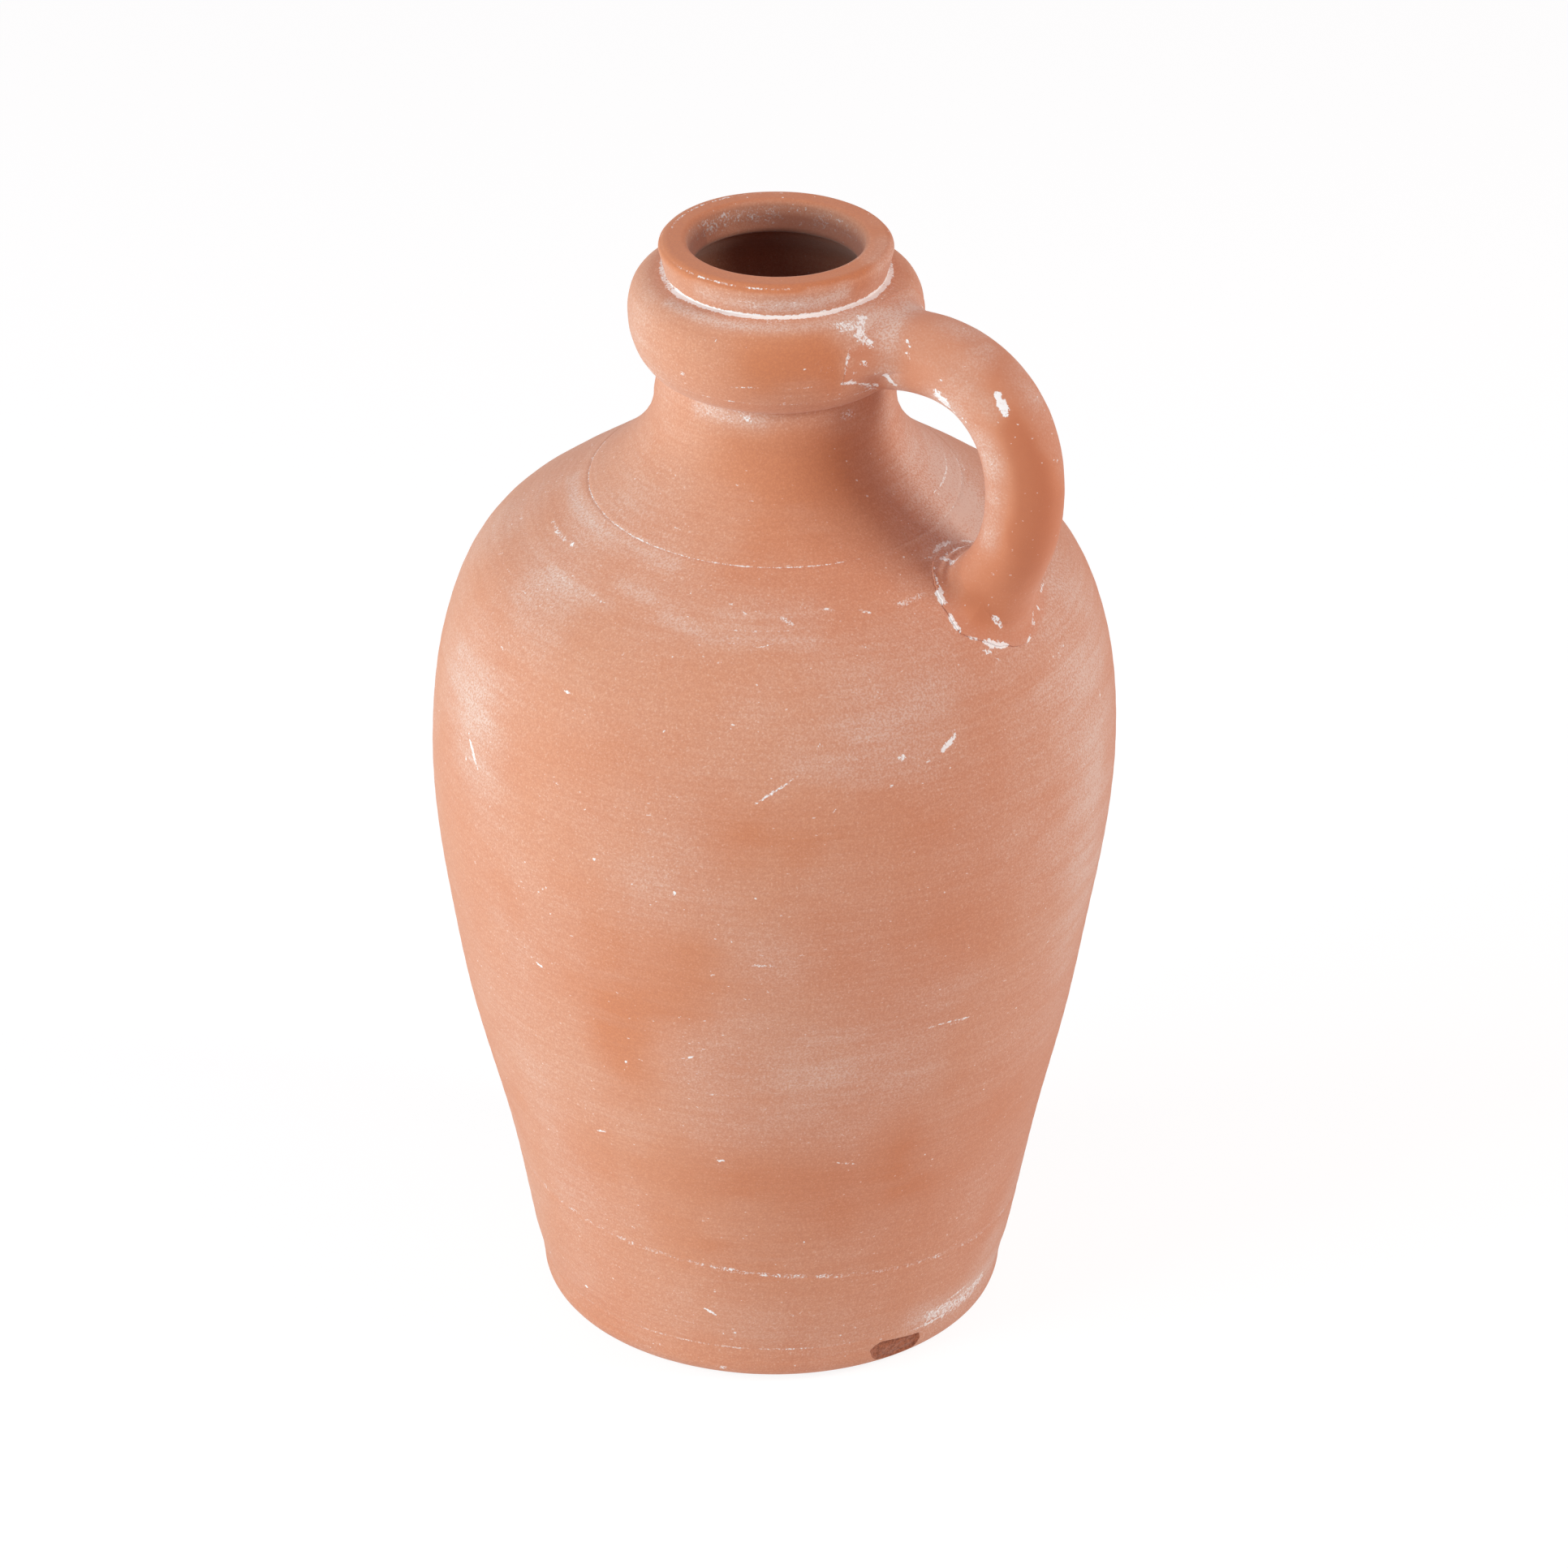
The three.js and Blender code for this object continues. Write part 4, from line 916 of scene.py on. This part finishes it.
bend = np.array([h.reach, lowerRoot[1] + h.bendHeight * drop])
pullLine = np.concatenate([
    [upperRoot - h.rootDepth * leaving],
    bezier(upperRoot, upperRoot + h.upperPull[0] * (h.reach - upperRoot[0]) * leaving,
           bend + (0, h.upperPull[1] * drop), bend, 201),
    bezier(bend, bend - (0, h.lowerPull[0] * drop),
           lowerRoot + h.lowerPull[1] * drop * landing, lowerRoot, 181)[1:],
    [lowerRoot - h.rootDepth * landing],
])
pullPlace = np.concatenate([
    h.places[:1], np.linspace(*h.places[1:3], 201), np.linspace(*h.places[2:4], 181)[1:], h.places[4:]])
pullRun = np.gradient(pullLine, pullPlace, axis=0)
pullRun /= np.linalg.norm(pullRun, axis=1)[:, None]
pullArc = np.concatenate([[0], np.cumsum(np.hypot(*np.diff(pullLine, axis=0).T))])


# point of the handle's skin at a place along the pull and an angle round it, grown by lift
def handlePoint(place, angle, lift=0.0):
    along = place / h.places[-1]
    turn = np.radians(h.sway * (1 - 2 * along))
    flare = h.flare * np.maximum(0, h.flareFrom[0] * along - h.flareFrom[1]) ** 2
    swell = 1 + h.taper * (1 - 2 * along) + flare
    cosine, sine = np.cos(np.radians(angle)), np.sin(np.radians(angle))
    power = 2 / h.squareness
    thick = np.sign(cosine) * np.abs(cosine) ** power * (0.5 * h.thickness * swell + lift)
    wide = np.sign(sine) * np.abs(sine) ** power * (0.5 * h.width * swell + lift)
    runX, runZ = (np.interp(place, pullPlace, column) for column in pullRun.T)
    radius = np.interp(place, pullPlace, pullLine[:, 0]) + runZ * thick
    height = np.interp(place, pullPlace, pullLine[:, 1]) - runX * thick
    x = radius * np.cos(turn) - wide * np.sin(turn)
    y = radius * np.sin(turn) + wide * np.cos(turn)
    return np.stack([x, y, height], -1)


def settle(points):
    azimuth = np.degrees(np.arctan2(points[..., 1], points[..., 0]))
    return handmade(np.hypot(points[..., 0], points[..., 1]), points[..., 2], azimuth)


def onHandle(place, angle, lift=0.0):
    return settle(handlePoint(place, angle, lift))


# places along the pull where each line of the handle comes out of the pot and goes back in
def trim(angles, buried):
    places = np.linspace(h.places[0], h.places[-1], h.trials)
    tube = handlePoint(*np.meshgrid(places, angles, indexing="ij"))
    free = radiusAt(tube[..., 2]) - np.hypot(tube[..., 0], tube[..., 1]) < buried
    return places[free.argmax(0)], places[len(places) - 1 - free[::-1].argmax(0)]


tracedPull, tracedPullHaze = trace(handleLimeMarks, onHandle), trace(handleHazeMarks, onHandle)


def pullHandle(look):
    angles = np.arange(look["around"]) * 360 / look["around"] - 180
    first, last = trim(angles, look["buried"])
    places = first + (last - first) * np.linspace(0, 1, look["rows"])[:, None]
    index = np.arange(places.size).reshape(places.shape)
    place, angle = places.reshape(-1), np.broadcast_to(angles, places.shape).reshape(-1)
    plain = onHandle(place, angle)
    # the hand's marks run along the pull, so their noise is taken round the section and slowly along it
    spun = np.radians(angle)
    marks = np.stack([
        np.cos(spun) * look["marksRound"], np.sin(spun) * look["marksRound"], place / look["marksLong"]], -1)
    lift = roughAt(plain, look["lumps"]) + roughAt(marks, look["pullMarks"])
    vertices = onHandle(place, angle, lift)
    faces = tubeFaces(index, len(vertices))
    caps = np.stack([vertices[index[0]].mean(0), vertices[index[-1]].mean(0)])
    vertices, plain = np.concatenate([vertices, caps]), np.concatenate([plain, caps])
    paint = {
        "limewash": np.maximum(crustCover(plain, tracedPull), crustCover(plain, tracedLime)),
        "haze": filmCover(plain, tracedPullHaze),
    }
    return finishMesh(look["node"], vertices, faces, pulledTerracotta, paint)


worked = [pullHandle(handleForm)]

# Wads of clay worked round the two roots: each runs in a hollow curve from the handle's side out to a ragged
# edge on the pot, given as (azimuth, height, thickness of the edge) points round the root.
upperWad = {
    "node": "upper_root_pad", "azimuth": 2.5, "height": 343.6, "end": 0,
    "edge": [(-8, 358.3, 0.1), (-17, 357.6, 0.15), (-22, 355.4, 0.15), (-26, 352, 0.12), (-27.6, 348.3, 0.12),
             (-28.6, 345.4, 0.15), (-29, 341.6, 0.2), (-29.4, 339.8, 0.3), (-23.4, 338.3, 0.25),
             (-19.5, 337, 0.2), (-12, 334.6, 0.2), (-5, 332.4, 0.2), (4, 331, 0.2), (11, 332.4, 0.2),
             (17, 334.6, 0.2), (25, 337.5, 0.2), (31, 340, 0.2), (33.5, 345, 0.2), (31, 351, 0.15),
             (27, 355, 0.1), (22, 357.2, 0.1), (12, 358.2, 0.1), (2.5, 358.5, 0.1)],
    "ragged": 0.5, "climb": 0.9, "leastClimb": 2.5, "ridges": 0.0,
}
lowerWad = {
    "node": "lower_root_pad", "azimuth": -2.5, "height": float(lowerRoot[1]), "end": 1,
    "edge": [(-6, 283.9, 0.3), (-12.4, 281.8, 0.4), (-14.3, 279.3, 0.6), (-15.8, 275.6, 0.7),
             (-16.2, 272.6, 0.7), (-16.2, 268, 0.6), (-14, 266.1, 0.5), (-12.3, 264.8, 0.5),
             (-10.2, 262.8, 0.6), (-7.4, 261.1, 0.6), (-2.4, 259.3, 0.4), (1.6, 260.4, 0.15),
             (4.6, 261.4, 0.05), (8.4, 263, 0.03), (13, 265.6, 0.03), (16, 270, 0.03), (16, 275, 0.03),
             (13.4, 279.4, 0.08), (9.6, 281.8, 0.15), (6.6, 282.8, 0.2), (3, 284, 0.25), (-1, 284.4, 0.3)],
    "ragged": 0.45, "climb": 1.1, "leastClimb": 3.0, "ridges": 0.35,
}
wadForm = {
    "around": 240, "rows": 26, "leastWidth": 0.8, "bendLift": 0.3, "topSink": 0.12,
    "edgeCircle": 14, "edgeRough": [(1.0, 3.0, 51), (0.6, 1.1, 52)],
    "lumps": h.lumps + [(0.06, 1.8, 54)], "lumpsFrom": 0.2,
    "ridgePitch": 2.7, "ridgeTurn": 2.2, "ridgesFrom": 0.5, "ridgesOver": 0.4,
    "edgeOut": 0.06, "edgeRise": 0.4, "underIn": 0.2, "underDeep": 0.6, "innerSink": 2.0, "limeUpTo": 0.5,
}
w = SimpleNamespace(**wadForm)


def rootWad(look):
    angles = np.arange(w.around) * 360 / w.around - 180
    way = 1 - 2 * look["end"]  # along the pull, from the pot
    footPlace = trim(angles, 0.0)[look["end"]]
    contact = handlePoint(footPlace, angles)
    middle = float(lengthAt(look["height"]))

    def fromRoot(azimuth, length):  # bearing and distance over the skin
        across = np.radians(azimuth - look["azimuth"]) * np.interp(length, skinLength, skinRadius)
        return np.arctan2(length - middle, across), np.hypot(across, length - middle)

    def overSkin(bearing, far, lift):
        length = middle + far * np.sin(bearing)
        radius = np.interp(length, skinLength, skinRadius)
        return skinPoint(look["azimuth"] + np.degrees(far * np.cos(bearing) / radius), length, lift)

    # the rim on the pot, the foot against the handle, and the top some way up the handle
    edge = np.array(look["edge"], float)
    edgeBearing, edgeFar = fromRoot(edge[:, 0], lengthAt(edge[:, 1]))
    contactAzimuth = np.degrees(np.arctan2(contact[:, 1], contact[:, 0]))
    bearing, footFar = fromRoot(contactAzimuth, lengthAt(contact[:, 2]))
    rim, step = (np.interp(bearing, edgeBearing, values, period=2 * np.pi) for values in (edgeFar, edge[:, 2]))
    circle = np.stack([np.cos(bearing), np.sin(bearing), 0 * bearing], 1) * w.edgeCircle
    rim = np.maximum(rim + look["ragged"] * roughAt(circle, w.edgeRough), footFar + w.leastWidth)
    climb = np.maximum(look["climb"] * (rim - footFar), look["leastClimb"])
    topPlace = np.interp(np.interp(footPlace, pullPlace, pullArc) + way * climb, pullArc, pullPlace)
    outer, hollow = overSkin(bearing, rim, step), overSkin(bearing, footFar, w.bendLift)
    top = onHandle(topPlace, angles, -w.topSink)
    share = np.linspace(0, 1, w.rows)[:, None]
    up = share[..., None]
    skirt = (1 - up) ** 2 * outer + 2 * up * (1 - up) * hollow + up ** 2 * top

    # lumps, and the ridges that fingers left above the lower root
    rowFar = footFar + (rim - footFar) * (1 - share) ** 2
    lumps = roughAt(skirt.reshape(-1, 3), w.lumps).reshape(rowFar.shape)
    topSide = np.clip((np.sin(bearing) - w.ridgesFrom) / w.ridgesOver, 0, 1)
    ridges = np.sin(2 * np.pi * rowFar / w.ridgePitch + w.ridgeTurn * np.cos(bearing)) * np.sin(np.pi * share)
    lumps = lumps + look["ridges"] * topSide * ridges
    flow = np.cross(np.gradient(skirt, axis=0), np.roll(skirt, -1, 1) - np.roll(skirt, 1, 1))
    flow *= way / np.maximum(np.linalg.norm(flow, axis=2, keepdims=True), 1e-9)
    skirt = skirt + flow * (lumps * np.clip(share / w.lumpsFrom, 0, 1))[..., None]

    rows = np.concatenate([
        [overSkin(bearing, rim - w.underIn, -w.underDeep)],
        [overSkin(bearing, rim + w.edgeOut, w.edgeRise * step)],
        skirt,
        [onHandle(topPlace, angles, -w.innerSink)],
        [overSkin(bearing, footFar - w.innerSink, -w.underDeep)],
    ])
    index = np.arange(len(rows) * w.around).reshape(len(rows), w.around)
    faces = np.array(tubeFaces(np.concatenate([index, index[:1]])))
    faces = faces[:, (1, 2, 3, 0) if look["end"] else (0, 3, 2, 1)].tolist()
    vertices = rows.reshape(-1, 3)
    below = np.concatenate([[rim, rim], rowFar, [footFar, footFar]])
    plain = overSkin(np.broadcast_to(bearing, below.shape).reshape(-1), below.reshape(-1), 0.0)
    lower = (np.concatenate([[[1.0], [1.0]], 1 - share, [[0.0], [0.0]]]) * np.ones(w.around)).reshape(-1)
    low = np.clip(lower / w.limeUpTo, 0, 1)
    paint = {
        "limewash": np.maximum(low * crustCover(plain, tracedLime), crustCover(vertices, tracedPull)),
        "haze": lower * filmCover(plain, tracedHaze) + filmCover(vertices, tracedPullHaze),
    }
    return finishMesh(look["node"], vertices, faces, pulledTerracotta, paint)


worked += [rootWad(look) for look in (upperWad, lowerWad)]
print("handle and wads:", len(worked))

# Stage: white paper that keeps the shadow, soft boxes left and right, even light from all round.
studio = {
    "floorHalf": 3.0, "floorColour": "#e6e5e4", "floorGlow": 0.885, "floorLift": 0.15, "floorShade": "#727272",
    "ambient": 0.345, "ambientColour": "#ffe1e7", "white": (1, 1, 1, 1), "aim": (0, 0, 0.19),
    "lamps": [
        # name, azimuth, elevation, distance, size, power, colour
        ("left_soft_box", -121.5, 20.0, 1.7, 1.3, 32.5, "#e2f6fa"),
        ("right_soft_box", 18.5, 35.0, 1.8, 0.60, 15.8, "#fffef8"),
    ],
}


# an emptied tree, and its share of rays that see the stage itself, not its light on the clay
def stageTree(owner):
    owner.use_nodes = True
    tree = owner.node_tree
    tree.nodes.clear()
    seen = addNode(tree, "LightPath").node.outputs
    direct = addNode(tree, "Math", (seen["Is Camera Ray"], seen["Is Glossy Ray"]), operation="MAXIMUM")
    return tree, addNode(tree, "Math", (direct, seen["Is Transmission Ray"]), operation="MAXIMUM")


half = studio["floorHalf"]
floorMesh = bpy.data.meshes.new("studio_floor")
corners = [(-half, -half, 0), (half, -half, 0), (half, half, 0), (-half, half, 0)]
floorMesh.from_pydata(corners, [], [(0, 1, 2, 3)])
floor = bpy.data.objects.new("studio_floor", floorMesh)
bpy.context.scene.collection.objects.link(floor)
paper = bpy.data.materials.new("matt_white_paper")
tree, direct = stageTree(paper)
sheets = []
for colour, glow in (("floorColour", "floorLift"), ("floorShade", "floorGlow")):
    matt = addNode(tree, "BsdfDiffuse", {"Color": linear(studio[colour])})
    bright = addNode(tree, "Emission", {"Color": studio["white"], "Strength": studio[glow]})
    sheets.append(addNode(tree, "AddShader", (matt, bright)))
addNode(tree, "OutputMaterial", {"Surface": addNode(tree, "MixShader", (direct, *sheets))})
floorMesh.materials.append(paper)

world = bpy.data.worlds.new("studio_world")
bpy.context.scene.world = world
tree, direct = stageTree(world)
soft = addNode(tree, "Background", {"Color": linear(studio["ambientColour"]), "Strength": studio["ambient"]})
plainWhite = addNode(tree, "Background", {"Color": studio["white"], "Strength": 1.0})
addNode(tree, "OutputWorld", {"Surface": addNode(tree, "MixShader", (direct, soft, plainWhite))})

for name, azimuth, elevation, distance, size, power, colour in studio["lamps"]:
    lamp = bpy.data.lights.new(name, "AREA")
    lamp.shape = "SQUARE"
    lamp.size = size
    lamp.energy = power
    lamp.color = linear(colour)[:3]
    holder = bpy.data.objects.new(name, lamp)
    bpy.context.scene.collection.objects.link(holder)
    turn, rise = math.radians(azimuth), math.radians(elevation)
    away = Vector((math.cos(turn) * math.cos(rise), math.sin(turn) * math.cos(rise), math.sin(rise)))
    holder.location = Vector(studio["aim"]) + distance * away
    holder.rotation_euler = (-away).to_track_quat("-Z", "Y").to_euler()
print("stage: floor, world and", len(studio["lamps"]), "lamps")

# Camera: a long lens, looking down at the jug with the handle to the right.
view = {
    "azimuth": 33.5, "elevation": 28.62, "distance": 2590.0, "aimHeight": 178.95, "aside": 3.44,
    "roll": 0.363, "lens": 187.02, "sensor": 36.0, "clip": (0.05, 50),
}
rise, roll = math.radians(view["elevation"]), math.radians(view["roll"])
forward = Vector((0, math.cos(rise), -math.sin(rise)))
upright = Vector((0, math.sin(rise), math.cos(rise)))
right = Vector((1, 0, 0)) * math.cos(roll) + upright * math.sin(roll)
upright = upright * math.cos(roll) - Vector((1, 0, 0)) * math.sin(roll)
spot = Vector((view["aside"], 0, view["aimHeight"])) - view["distance"] * forward
stand = Matrix((
    (right.x, upright.x, -forward.x, spot.x * mm),
    (right.y, upright.y, -forward.y, spot.y * mm),
    (right.z, upright.z, -forward.z, spot.z * mm),
    (0, 0, 0, 1),
))
lens = bpy.data.cameras.new("camera")
lens.lens, lens.sensor_width = view["lens"], view["sensor"]
lens.clip_start, lens.clip_end = view["clip"]
camera = bpy.data.objects.new("camera", lens)
bpy.context.scene.collection.objects.link(camera)
camera.matrix_world = Matrix.Rotation(math.radians(view["azimuth"]), 4, "Z") @ stand
bpy.context.scene.camera = camera
bpy.context.scene.view_settings.view_transform = "Standard"

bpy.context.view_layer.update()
print("sizes written, camera at", [round(c, 3) for c in camera.location])
